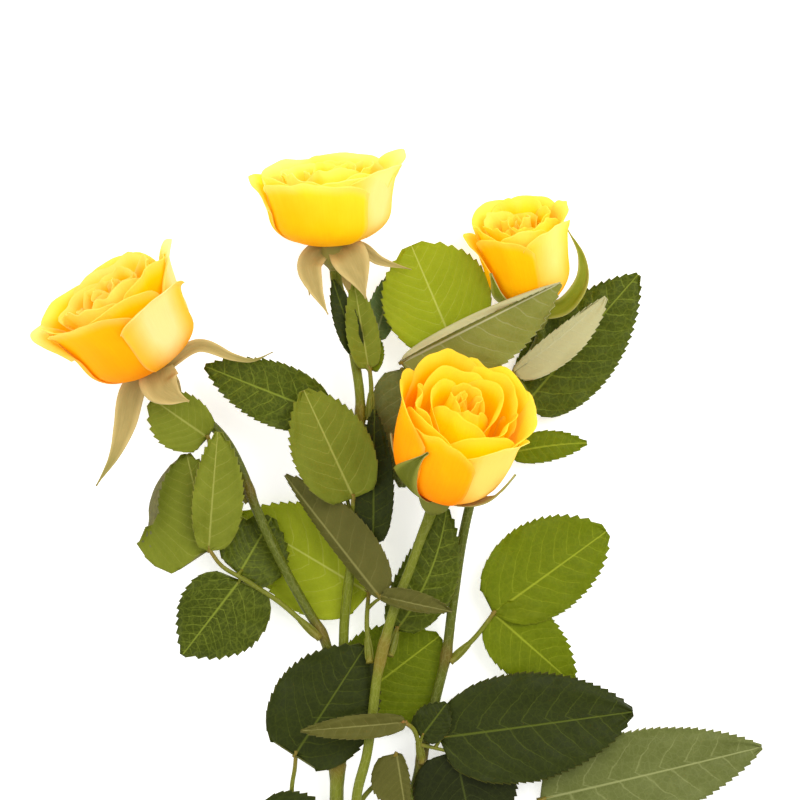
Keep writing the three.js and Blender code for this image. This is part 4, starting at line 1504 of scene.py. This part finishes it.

# the outer petals' tone and pale are partly painted light: painted shade on each bloom's left, painted
# highlight on its right where the light falls; the side-to-side tone slope on some petals is painted
# shade
BLOOMS = [
    Bloom(
        name="front_rose", lean=18, tilt=38, receptacle=(11.8, 95.5, 23.4), height=38.6, belly=18.6,
        rim=20.2, finish=Other.GOLDEN, slot="golden_petal", calyx_finish=Other.SEPAL,
        calyx_slot="green_calyx",
        petals=[
            Petal(turn=-14, spread=42, height=0.95, flare=10, side_flare=18, drop=0.24, point=0.04,
                  tone=0.35),
            Petal(turn=50, spread=50, scale=0.98, height=0.93, flare=10, side_flare=20, pale=1.5,
                  tone=-0.1, drop=0.22),
            Petal(turn=158, spread=64, height=1.0, flare=10, side_flare=18, tone=0.0, notch=0.06),
            Petal(turn=-76, spread=56, scale=1.02, height=1.02, flare=6, side_flare=20, tone=0.5,
                  drop=0.2, point=0.05),
            Petal(turn=30, spread=54, scale=0.93, height=0.98, flare=-14, side_flare=20, tone=-0.4),
            Petal(turn=104, spread=58, scale=0.97, height=0.98, flare=16, side_flare=14, tone=-0.35,
                  pale=0.4, drop=0.18),
            Petal(turn=212, spread=52, scale=0.95, height=1.04, flare=4, side_flare=20, tone=0.3,
                  drop=0.34),
            Petal(turn=-34, spread=54, scale=0.92, height=0.97, flare=0, side_flare=12, tone=0.0),
        ],
        heart_petals=13, heart_reach=(0.86, 0.13), heart_height=(0.98, 0.94),
        heart_ruffle=(2.0, 1.1), heart_flare=(10.0, -12.0), heart_tone=(-0.5, 0.1), heart_pale=0.15,
        heart_turn=150, heart_lean=34, heart_shift=(-4.0, -1.5), fullness=(0.52, 0.87),
        hugging=[HuggingSepal(-46, 0.78, 8.4, 0.1, 26), HuggingSepal(66, 0.66, 4.5, 2.4),
                 HuggingSepal(132, 0.5, 4.5), HuggingSepal(186, 0.5, 4.5),
                 HuggingSepal(-100, 0.45, 4.5, 1.2)],
        hip_radius=5.3),
    Bloom(
        name="top_rose", lean=-4, tilt=15, receptacle=(-20.8, 172.7, 17.3), height=25.6, belly=19.4,
        rim=22.8, finish=Other.LEMON, slot="lemon_petal", calyx_finish=Other.FADED,
        calyx_slot="faded_calyx",
        petals=[
            Petal(turn=-20, spread=58, height=0.95, flare=4, side_flare=8, drop=0.14, shoulder=5,
                  tone=0.15, point=0.03, painted_shade_left=0.4),
            Petal(turn=54, spread=44, scale=0.97, height=1.04, flare=10, side_flare=10, pale=1.2,
                  drop=0.16, tone=-0.1),
            Petal(turn=166, spread=62, scale=0.97, height=0.96, flare=8, side_flare=14, pale=0.5),
            Petal(turn=-104, spread=38, scale=1.0, height=1.0, flare=28, side_flare=20, tone=0.1,
                  drop=0.32, shoulder=2.0, point=0.0, lip=60),
            Petal(turn=20, spread=54, scale=0.9, height=0.97, flare=4, side_flare=6, pale=0.6),
            Petal(turn=104, spread=42, scale=1.0, height=1.1, flare=16, side_flare=12, pale=0.7,
                  drop=0.24, shoulder=2.6, point=0.0, lip=30),
            Petal(turn=216, spread=58, scale=0.93, height=0.96, flare=12, side_flare=24, pale=0.5),
            Petal(turn=-58, spread=50, scale=0.92, height=0.98, flare=3, side_flare=8, tone=0.15),
        ],
        heart_petals=10, heart_reach=(0.82, 0.2), heart_height=(0.98, 0.94),
        heart_ruffle=(1.9, 1.1), heart_flare=(8.0, -8.0), heart_tone=(-0.3, 0.2), heart_pale=0.8,
        sepals=[
            Sepal(((-24.4, 171.6, 18.6), (-28.2, 166.4, 21), (-26.4, 159, 22.4),
                   (-22.4, 150.6, 22.6)), 4.6),
            Sepal(((-18.2, 172.4, 20), (-15.4, 168, 23), (-13.0, 162.4, 23.4),
                   (-10.6, 155.6, 23)), 6.8, curl=14),
            Sepal(((-17.6, 171.6, 18.6), (-12.6, 171.6, 19.6), (-6.4, 167.6, 18.6),
                   (3.6, 164.8, 17.6)), 2.4, tone_tip=0.3),
            Sepal(((-23, 171.4, 15), (-28.4, 166, 12), (-28.6, 157, 7)), 3.6, turned=True),
            Sepal(((-18, 171.4, 14), (-16.4, 163, 10), (-15.2, 155, 6)), 3.6, turned=True),
        ],
        hip_radius=4.7),
    Bloom(
        name="left_rose", lean=-33, tilt=20, receptacle=(-76.4, 134.4, 16.2), height=33, belly=19.6,
        rim=24.4, finish=Other.YELLOW, slot="yellow_petal", calyx_finish=Other.FADED,
        calyx_slot="faded_calyx",
        petals=[
            Petal(turn=27, spread=36, scale=1.05, height=0.84, flare=12, side_flare=6, pale=1.3,
                  tone=-0.15, drop=0.12, shoulder=4, point=0.0, lip=46),
            Petal(turn=-40, spread=54, scale=0.99, height=0.97, flare=8, side_flare=12, tone=0.3,
                  drop=0.22, painted_shade_left=-0.2),
            Petal(turn=170, spread=62, height=0.92, flare=10, side_flare=16, scale=0.97),
            Petal(turn=-100, spread=38, scale=1.0, height=0.99, flare=26, side_flare=12, tone=0.0,
                  pale=0.6, drop=0.3, shoulder=2.4, point=0.0, lip=70),
            Petal(turn=86, spread=44, scale=0.99, height=1.02, flare=6, side_flare=12, pale=1.6,
                  tone=-0.3, drop=0.26, shoulder=2.8, point=0.0, lip=44),
            Petal(turn=-2, spread=54, scale=0.91, height=0.95, flare=4, side_flare=8, tone=0.1),
            Petal(turn=222, spread=58, scale=0.93, height=0.95, flare=16, side_flare=22),
            Petal(turn=-68, spread=52, scale=0.92, height=0.98, flare=6, side_flare=10, tone=0.1),
        ],
        heart_petals=13, heart_reach=(0.86, 0.14), heart_height=(0.97, 0.9),
        heart_ruffle=(2.8, 1.8), heart_flare=(10.0, -6.0), heart_tone=(-0.15, 0.45), heart_pale=0.25,
        hugging=[HuggingSepal(-128, 0.86, 5, 0.6)],
        sepals=[
            Sepal(((-78.4, 133.4, 16.4), (-83.4, 127.6, 15.6), (-86.4, 116, 13.8),
                   (-89.6, 106.8, 12.6), (-95.4, 97.0, 12)), 4.8, tone_tip=0.5),
            Sepal(((-76, 133.6, 20), (-74.4, 128.6, 22.6), (-70.6, 125.4, 24), (-65.6, 123.6, 24)),
                  7.4, curl=10),
            Sepal(((-73.4, 134.4, 18.8), (-63, 141, 20.4), (-52, 137.4, 19.4),
                   (-46, 136.4, 19), (-39.7, 139, 19)), 2.5, tone_tip=0.6),
            Sepal(((-74.4, 133.6, 13), (-71.6, 128, 9), (-68, 122, 3.8)), 3.6, turned=True),
        ],
        hip_radius=4.7),
    Bloom(
        name="right_rose", lean=-12, tilt=25, receptacle=(42.2, 153.8, 10.4), height=31, belly=12.6,
        rim=14.8, finish=Other.CLEAR, slot="yellow_petal", calyx_finish=Other.LIGHT_SEPAL,
        calyx_slot="green_calyx",
        petals=[
            Petal(turn=-36, spread=50, scale=0.99, height=0.97, flare=8, side_flare=16, tone=0.2,
                  drop=0.2),
            Petal(turn=40, spread=46, scale=1.03, height=0.98, flare=8, side_flare=10, pale=0.95,
                  tone=-0.15, drop=0.16),
            Petal(turn=158, spread=62, height=1.0, flare=12, side_flare=20, pale=0.4),
            Petal(turn=-96, spread=44, scale=1.04, height=0.92, flare=20, side_flare=26, tone=0.15,
                  drop=0.36, shoulder=2.0),
            Petal(turn=2, spread=54, scale=0.9, height=1.0, flare=2, side_flare=6, pale=0.4,
                  ruffle=0.9),
            Petal(turn=98, spread=48, scale=0.97, height=1.02, flare=16, side_flare=24, pale=0.6,
                  tone=0.1),
            Petal(turn=212, spread=56, scale=0.93, height=1.04, flare=14, side_flare=24, pale=0.3),
            Petal(turn=-70, spread=54, scale=0.9, height=1.02, flare=4, side_flare=8, ruffle=0.9),
        ],
        heart_petals=11, heart_reach=(0.84, 0.16), heart_height=(1.0, 0.92),
        heart_ruffle=(1.9, 1.0), heart_flare=(8.0, -6.0), heart_tone=(-0.2, 0.4), heart_pale=0.3,
        hugging=[HuggingSepal(-52, 0.62, 5.2, 0.8), HuggingSepal(-135, 0.5, 4),
                 HuggingSepal(145, 0.5, 4)],
        sepals=[Sepal(((43.0, 151.4, 8.6), (51.6, 153.6, 10.4), (57.0, 161.4, 12.8),
                       (56.8, 169.4, 14), (52.6, 177.4, 14)), 3.6, curl=50, tone_tip=0.1)],
        hip_radius=4.4),
]

# each leaflet starts with its base, its tip, its two half widths, its green and its two folds
LEAVES = [
    CompoundLeaf(
        "leaf_low_left", "leaf_mid",
        [[(-26.8, 50.8, 14.3), (-37, 60, 14.8), (-48.5, 67.5, 14), (-56, 72, 13.6), (-60, 77.4, 13.8)],
         [(-50, 68.4, 13.9), (-50.6, 66.4, 12.6)], [(-51, 69, 13.8), (-49.6, 70.6, 12)]],
        [Leaflet((-60, 76.9, 14.1), (-57, 114, 18), (6.8, 10), Leaf.OLIVE, (26, 10), arch=0.05,
                 pointed=0.85, tone=-0.1, wave=1.2),
         Leaflet((-60, 76.9, 13.6), (-67, 107, 11), (22.5, 8), Leaf.OLIVE, (-4, -4), arch=0.06,
                 tone=0.05, curl=(172, 0), curl_from=0.52, curl_along=(0.34, 1.1), pointed=0.9,
                 lobe=(7, 1), wave=1.2),
         Leaflet((-50.4, 67.2, 13), (-68.6, 43.6, 6.4), (16, 12), Leaf.GLOSSY, (4, 4),
                 pointed=1.15, lobe=(5, 1), wave=1.2, tone=0.3),
         Leaflet((-50.4, 69.6, 12.4), (-40.5, 87, 8), (10.5, 12), Leaf.GLOSSY, (0, -2), arch=-0.04,
                 lobe=(1, 3))]),
    CompoundLeaf(
        "leaf_high_left", "leaf_mid",
        [[(-49.1, 93.8, 11.5), (-53.4, 99.4, 11.6), (-58.4, 106, 12), (-60.4, 113, 13.4)]],
        [Leaflet((-60.4, 112.4, 13.3), (-77.6, 124.4, 15.2), (10, 8.4), Leaf.OLIVE, (0, 14), arch=0.09,
                 tone=-0.1, pointed=0.75)]),
    CompoundLeaf(
        "leaf_centre", "leaf_mid",
        [[(-14.6, 77, 17), (-14.8, 87.5, 17.1), (-14.6, 94.6, 20.6)],
         [(-14.8, 86, 17.2), (-18, 99, 16.6), (-21, 111, 15.6), (-23, 120.6, 14.8)],
         [(-14.7, 78.6, 17), (-11, 78.4, 16.8), (-8.2, 80, 16.8)]],
        [Leaflet((-14.6, 93.6, 20.4), (-30, 127, 20), (13, 12.8), Leaf.OLIVE, (20, 2), tone=0.15,
                 pointed=0.9, wave=1.5, lobe=(2, 3)),
         Leaflet((-22.8, 119.4, 14.8), (-61.2, 134.6, 12.4), (10, 10), Leaf.GLOSSY, (6, 6), tone=0.1),
         Leaflet((-8.4, 79, 16.8), (-8, 121, 17.6), (6.2, 6.4), Leaf.DARK, (6, 6), arch=0.02)]),
    CompoundLeaf(
        "leaf_fork_left", "leaf_light",
        [[(-9.6, 44, 17.2), (-10.4, 54, 14.6), (-9.8, 64, 10.8)],
         [(-10.2, 58.5, 13), (-7.6, 61, 17), (-5.6, 62.4, 19.6)],
         [(-5.8, 62.2, 19.4), (-4.4, 62.9, 20.8)]],
        [Leaflet((-9.8, 63.4, 10.8), (-50.8, 87.7, 4.4), (17, 17), Leaf.BRIGHT, (3, 3), arch=-0.02),
         Leaflet((-6, 62.2, 19.6), (-36, 100.4, 16.6), (4, 10.6), Leaf.BROWN, (-50, 4), arch=0.02),
         Leaflet((-5.8, 62.8, 20.6), (16.2, 58, 20.6), (4.4, 2.6), Leaf.BROWN, (20, 20), arch=0.13)]),
    CompoundLeaf(
        "leaf_fork_right", "leaf_dark",
        [[(-2.6, 46, 16), (-1.6, 49.6, 15), (-0.8, 53, 14.4)]],
        [Leaflet((-1, 52, 14.4), (14.6, 90, 14), (9.4, 9.4), Leaf.GLOSSY, (0, 0), arch=0, sweep=0.07)]),
    CompoundLeaf(
        "leaf_behind_fork", "leaf_light",
        [[(-15.6, 24, 7.6), (-14.8, 27, 6.4), (-14, 30, 6)]],
        [Leaflet((-14.4, 29, 6), (12.4, 49.6, 6), (16, 17), Leaf.FRESH, (0, 0), arch=0, tone=0.2)]),
    CompoundLeaf(
        "leaf_fork_low", "leaf_dark",
        [[(-24, -24, 7.6), (-30, -12, 8), (-34, 0, 9.6), (-33, 8.7, 11.6), (-32.6, 14, 13.6)]],
        [Leaflet((-33, 12.6, 13.6), (-11, 46.6, 14.4), (17, 16.4), Leaf.DARK, (4, 0), arch=0.02,
                 pointed=0.9, wave=1.4, lobe=(3, 3))]),
    CompoundLeaf(
        "leaf_low_right", "leaf_dark",
        [[(6.6, 12, 11.1), (5.9, 16, 13.8), (4.2, 21, 17.4), (0.6, 23.8, 20.6)],
         [(5.9, 16, 13.6), (11.6, 14.6, 12.8), (17.8, 13, 12)], [(5.9, 16, 13.8), (7.4, 19.6, 14.8)],
         [(11, 14.8, 12.8), (13.2, 18.4, 12.8)]],
        [Leaflet((1.6, 23.4, 20.4), (-31, 20.8, 21.4), (4.4, 4), Leaf.BROWN, (24, 20), arch=0.03),
         Leaflet((6.8, 18.6, 14.8), (14.6, 29, 14.8), (6, 6), Leaf.DARK, (4, 4)),
         Leaflet((12.6, 18, 12.8), (73.2, 26, 10.4), (17, 17.6), Leaf.DARK, (0, 4), arch=0.02,
                 pointed=0.92, wave=1.4),
         Leaflet((17.4, 13.4, 12), (24, -17, 5.4), (17, 16), Leaf.BLACKISH, (-4, -4), arch=0.04)],
        flush=0.9),
    CompoundLeaf(
        "leaf_bottom_right", "leaf_light",
        [[(-3.2, -19, 5.2), (10, -16, 3.8), (30, -9, 3.6), (46, -1.6, 4.4)]],
        [Leaflet((44.6, -2, 4.4), (114.4, 14.3, 2.2), (15, 15), Leaf.GREY, (6, 6), arch=0.03,
                 wave=1.2)]),
    CompoundLeaf(
        "leaf_bottom_middle", "leaf_mid",
        [[(-16, -8.6, 8.4), (-11, -0.5, 8.8), (-4.6, 6.5, 10.6), (-1, 13.4, 12.2)]],
        [Leaflet((-1, 12.8, 12.2), (1.6, -3.8, 12), (3, 9.4), Leaf.BROWN, (10, 0), pointed=0.7)]),
    CompoundLeaf(
        "leaf_bottom_left", "leaf_dark",
        [[(-24, -36, 7), (-34, -32, 8), (-42, -22, 9.6), (-44.4, -11.4, 11)]],
        [Leaflet((-44.4, -12.2, 11), (-18.6, -9.6, 12), (12.6, 12.6), Leaf.DARK, (0, 0), arch=0.03)]),
    CompoundLeaf(
        "leaf_mid_right", "leaf_light",
        [[(17.4, 43.2, 9.2), (23.9, 49.6, 9), (30, 57.6, 8.4)]],
        [Leaflet((29.6, 57, 8.4), (65.2, 82.5, 4.4), (17.6, 12.6), Leaf.FRESH, (3, 3), arch=0.02,
                 pointed=0.8, wave=1.2, lobe=(2, 0)),
         Leaflet((29.4, 56.8, 8.4), (55.2, 34, 4.4), (11, 11.6), Leaf.FRESH, (3, 3), arch=0)]),
    CompoundLeaf(
        "leaf_high_right", "leaf_dark",
        [[(27.6, 100, 6.2), (33.6, 108, 5.4), (37.4, 117, 4.9), (39.4, 123, 4.4)],
         [(37.6, 117.6, 4.9), (40.4, 123.4, 8.6), (38.4, 129, 11.2), (35.4, 133.2, 11.6)],
         [(33, 107, 5.5), (36, 107.6, 5.8)]],
        [Leaflet((39, 122, 4.4), (75.3, 163.7, 2.4), (13, 14.6), Leaf.GLOSSY, (-2, 4), arch=0),
         Leaflet((35.6, 132.6, 11.6), (64.6, 156.4, 9.6), (3, 7.6), Leaf.SILVER, (20, 10), sweep=0.02,
                 turned=True, pointed=0.9, wave=1.0),
         Leaflet((35.4, 107.4, 5.8), (59, 110.4, 4.6), (5, 5), Leaf.FRESH, (4, 4), sweep=-0.03)]),
    CompoundLeaf(
        "leaf_high_middle", "leaf_light",
        [[(25.4, 110, 8.6), (18, 118, 10.4), (10, 126, 12.4), (3, 133, 14.4), (0.4, 136.2, 17.8)],
         [(10, 126, 12.4), (14, 135, 12.8), (16.4, 143, 13.4)], [(4, 132, 14.2), (0.4, 134, 13)]],
        [Leaflet((0.6, 133.4, 12.8), (0.6, 96.6, 12), (10.4, 10), Leaf.GREY, (2, 2), arch=0),
         Leaflet((16.4, 142.2, 13.4), (3.6, 172.4, 14.4), (16.4, 18.4), Leaf.BRIGHT, (3, 12), arch=0.03,
                 pointed=0.78, lobe=(3, 3)),
         Leaflet((0.6, 135.8, 17.6), (49.8, 160.4, 27), (7.4, 15.6), Leaf.SILVER, (10, -6), arch=0.03,
                 curl=(190, 0), curl_from=0.25, wave=1.2)]),
    CompoundLeaf(
        "leaf_top", "leaf_mid",
        [[(-9.5, 120, 15.8), (-9, 127.4, 16), (-9.6, 134.8, 16.6)],
         [(-9.4, 133, 16.4), (-12, 136.4, 17), (-14, 139.4, 17.6)],
         [(-9.4, 133.6, 16.4), (-8, 139, 13.4), (-7.8, 144, 11.4)]],
        [Leaflet((-9.8, 134, 16.8), (-14.4, 161, 20), (5.6, 5.6), Leaf.OLIVE, (24, 24), arch=0.03),
         Leaflet((-13.6, 138.6, 17.6), (-21, 161.6, 18.4), (4, 4), Leaf.DARK, (10, 10)),
         Leaflet((-7.8, 143.2, 11.6), (-1.4, 165, 8.4), (5, 4.6), Leaf.BLUE, (4, 4)),
         Leaflet((-9, 133.6, 16), (-6.6, 143.4, 15), (2.6, 3), Leaf.FRESH, (6, 6))]),
]


SHOOT_FINISHES = {"front_rose": Other.STALK, "top_rose": Other.YOUNG,
                  "left_rose": Other.DEEP, "right_rose": Other.DEEP}


class Plant:
    """The whole cut spray: stems, blooms and leaves."""

    def build(self) -> None:
        """Builds every piece and reports it."""
        joints = [leaf.stalks[0][0] for leaf in LEAVES]
        forks = [points[1] for points in SHOOTS.values()]
        Stalk("main_stem", MAIN_STEM, STEM_RADII, Other.STALK, joints + forks,
              swelling=0.16, cut=math.tan(math.radians(CUT_SLOPE))).build()
        for index, bloom in enumerate(BLOOMS):
            neck = bloom.place(np.array([[0.0, 0.0, -HIP_HEIGHT - NECK_LENGTH],
                                         [0.0, 0.0, -HIP_HEIGHT + 0.6]]))
            Stalk(f"{bloom.name}_stem", [*SHOOTS[bloom.name], *map(tuple, neck)], SHOOT_RADII,
                  SHOOT_FINISHES[bloom.name], joints, neck=0.25).build()
            bloom.build(100 + 37 * index)
        for index, leaf in enumerate(LEAVES):
            leaf.build(3 + index)


# ---------------------------------------------------------------------------------------------
# The studio
# ---------------------------------------------------------------------------------------------

@dataclass
class Studio:
    """A pale surface, soft light and a camera that looks straight down.

    view is the place that the camera looks at and view_width how much of the surface it takes in,
    where the blooms are subject_height high, all in millimetres of the frame. The lamps stand at
    key_place and fill_place from there, in metres, and their faces are key_size and fill_size wide.
    """

    view: Pair = (-0.08, 115.71)
    view_width: float = 248.0
    subject_height: float = 30.0
    lens: float = 200.0
    sensor: float = 36.0
    surface_size: float = 8.0
    sky: float = 0.9
    key_place: Triple = (0.75, 0.65, 1.3)
    key_size: float = 1.0
    key_power: float = 15.0
    fill_place: Triple = (-0.9, 0.1, 1.0)
    fill_size: float = 1.2
    fill_power: float = 5.0
    surface_glow: float = 0.5

    def build(self) -> None:
        """Builds the surface, the lights and the camera."""
        scene = bpy.context.scene
        scene.view_settings.view_transform = "Standard"
        world = bpy.data.worlds.new("white_room")
        world.use_nodes = True
        sky = world.node_tree.nodes["Background"]
        sky.inputs["Color"].default_value = (1.0, 1.0, 1.0, 1.0)
        sky.inputs["Strength"].default_value = self.sky
        scene.world = world
        self._surface()
        centre = Vector((self.view[0] * MM, self.view[1] * MM, 0.02))
        self._light("key_light", centre + Vector(self.key_place), centre, self.key_size,
                    self.key_power)
        self._light("fill_light", centre + Vector(self.fill_place), centre, self.fill_size,
                    self.fill_power)
        self._camera()

    def _surface(self) -> None:
        """Adds the pale surface that the plant lies on."""
        half = self.surface_size / 2
        corners = [(-half, -half, 0.0), (half, -half, 0.0), (half, half, 0.0), (-half, half, 0.0)]
        mesh = bpy.data.meshes.new("surface")
        mesh.from_pydata(corners, [], [(0, 1, 2, 3)])
        surface = bpy.data.objects.new("surface", mesh)
        bpy.context.scene.collection.objects.link(surface)
        graph = Graph("pale_surface")
        place = graph.node("ShaderNodeTexCoord", {}, {}, "Object")
        grain = graph.noise(place, 60.0, 3.0)
        colour = graph.mix((0.93, 0.93, 0.93), (0.96, 0.96, 0.955), grain)
        mesh.materials.append(graph.finish({
            "Base Color": colour, "Roughness": 0.9, "Specular IOR Level": 0.1,
            "Emission Color": (1.0, 1.0, 1.0), "Emission Strength": self.surface_glow}))

    def _light(self, name: str, place: Vector, aim: Vector, size: float, power: float) -> None:
        """Adds a soft lamp.

        Args:
            name: its name.
            place: where it stands, in metres.
            aim: what it shines on.
            size: the side of its square face, in metres.
            power: its power, in watts.
        """
        lamp = bpy.data.lights.new(name, "AREA")
        lamp.energy = power
        lamp.size = size
        made = bpy.data.objects.new(name, lamp)
        made.location = place
        made.rotation_euler = (aim - place).to_track_quat("-Z", "Y").to_euler()
        bpy.context.scene.collection.objects.link(made)

    def _camera(self) -> None:
        """Adds the camera, straight above the plant, with the top of its picture towards +Y."""
        camera = bpy.data.cameras.new("camera")
        camera.lens = self.lens
        camera.sensor_width = self.sensor
        distance = self.view_width * self.lens / self.sensor
        made = bpy.data.objects.new("camera", camera)
        made.location = Vector((*self.view, self.subject_height + distance)) * MM
        camera.clip_end = 20.0
        bpy.context.scene.collection.objects.link(made)
        bpy.context.scene.camera = made


def main() -> None:
    """Builds the studio and the plant."""
    logging.basicConfig(level=logging.INFO, format="%(name)s: %(message)s")
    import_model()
    Studio().build()
    Plant().build()


if __name__ == "__main__":
    main()
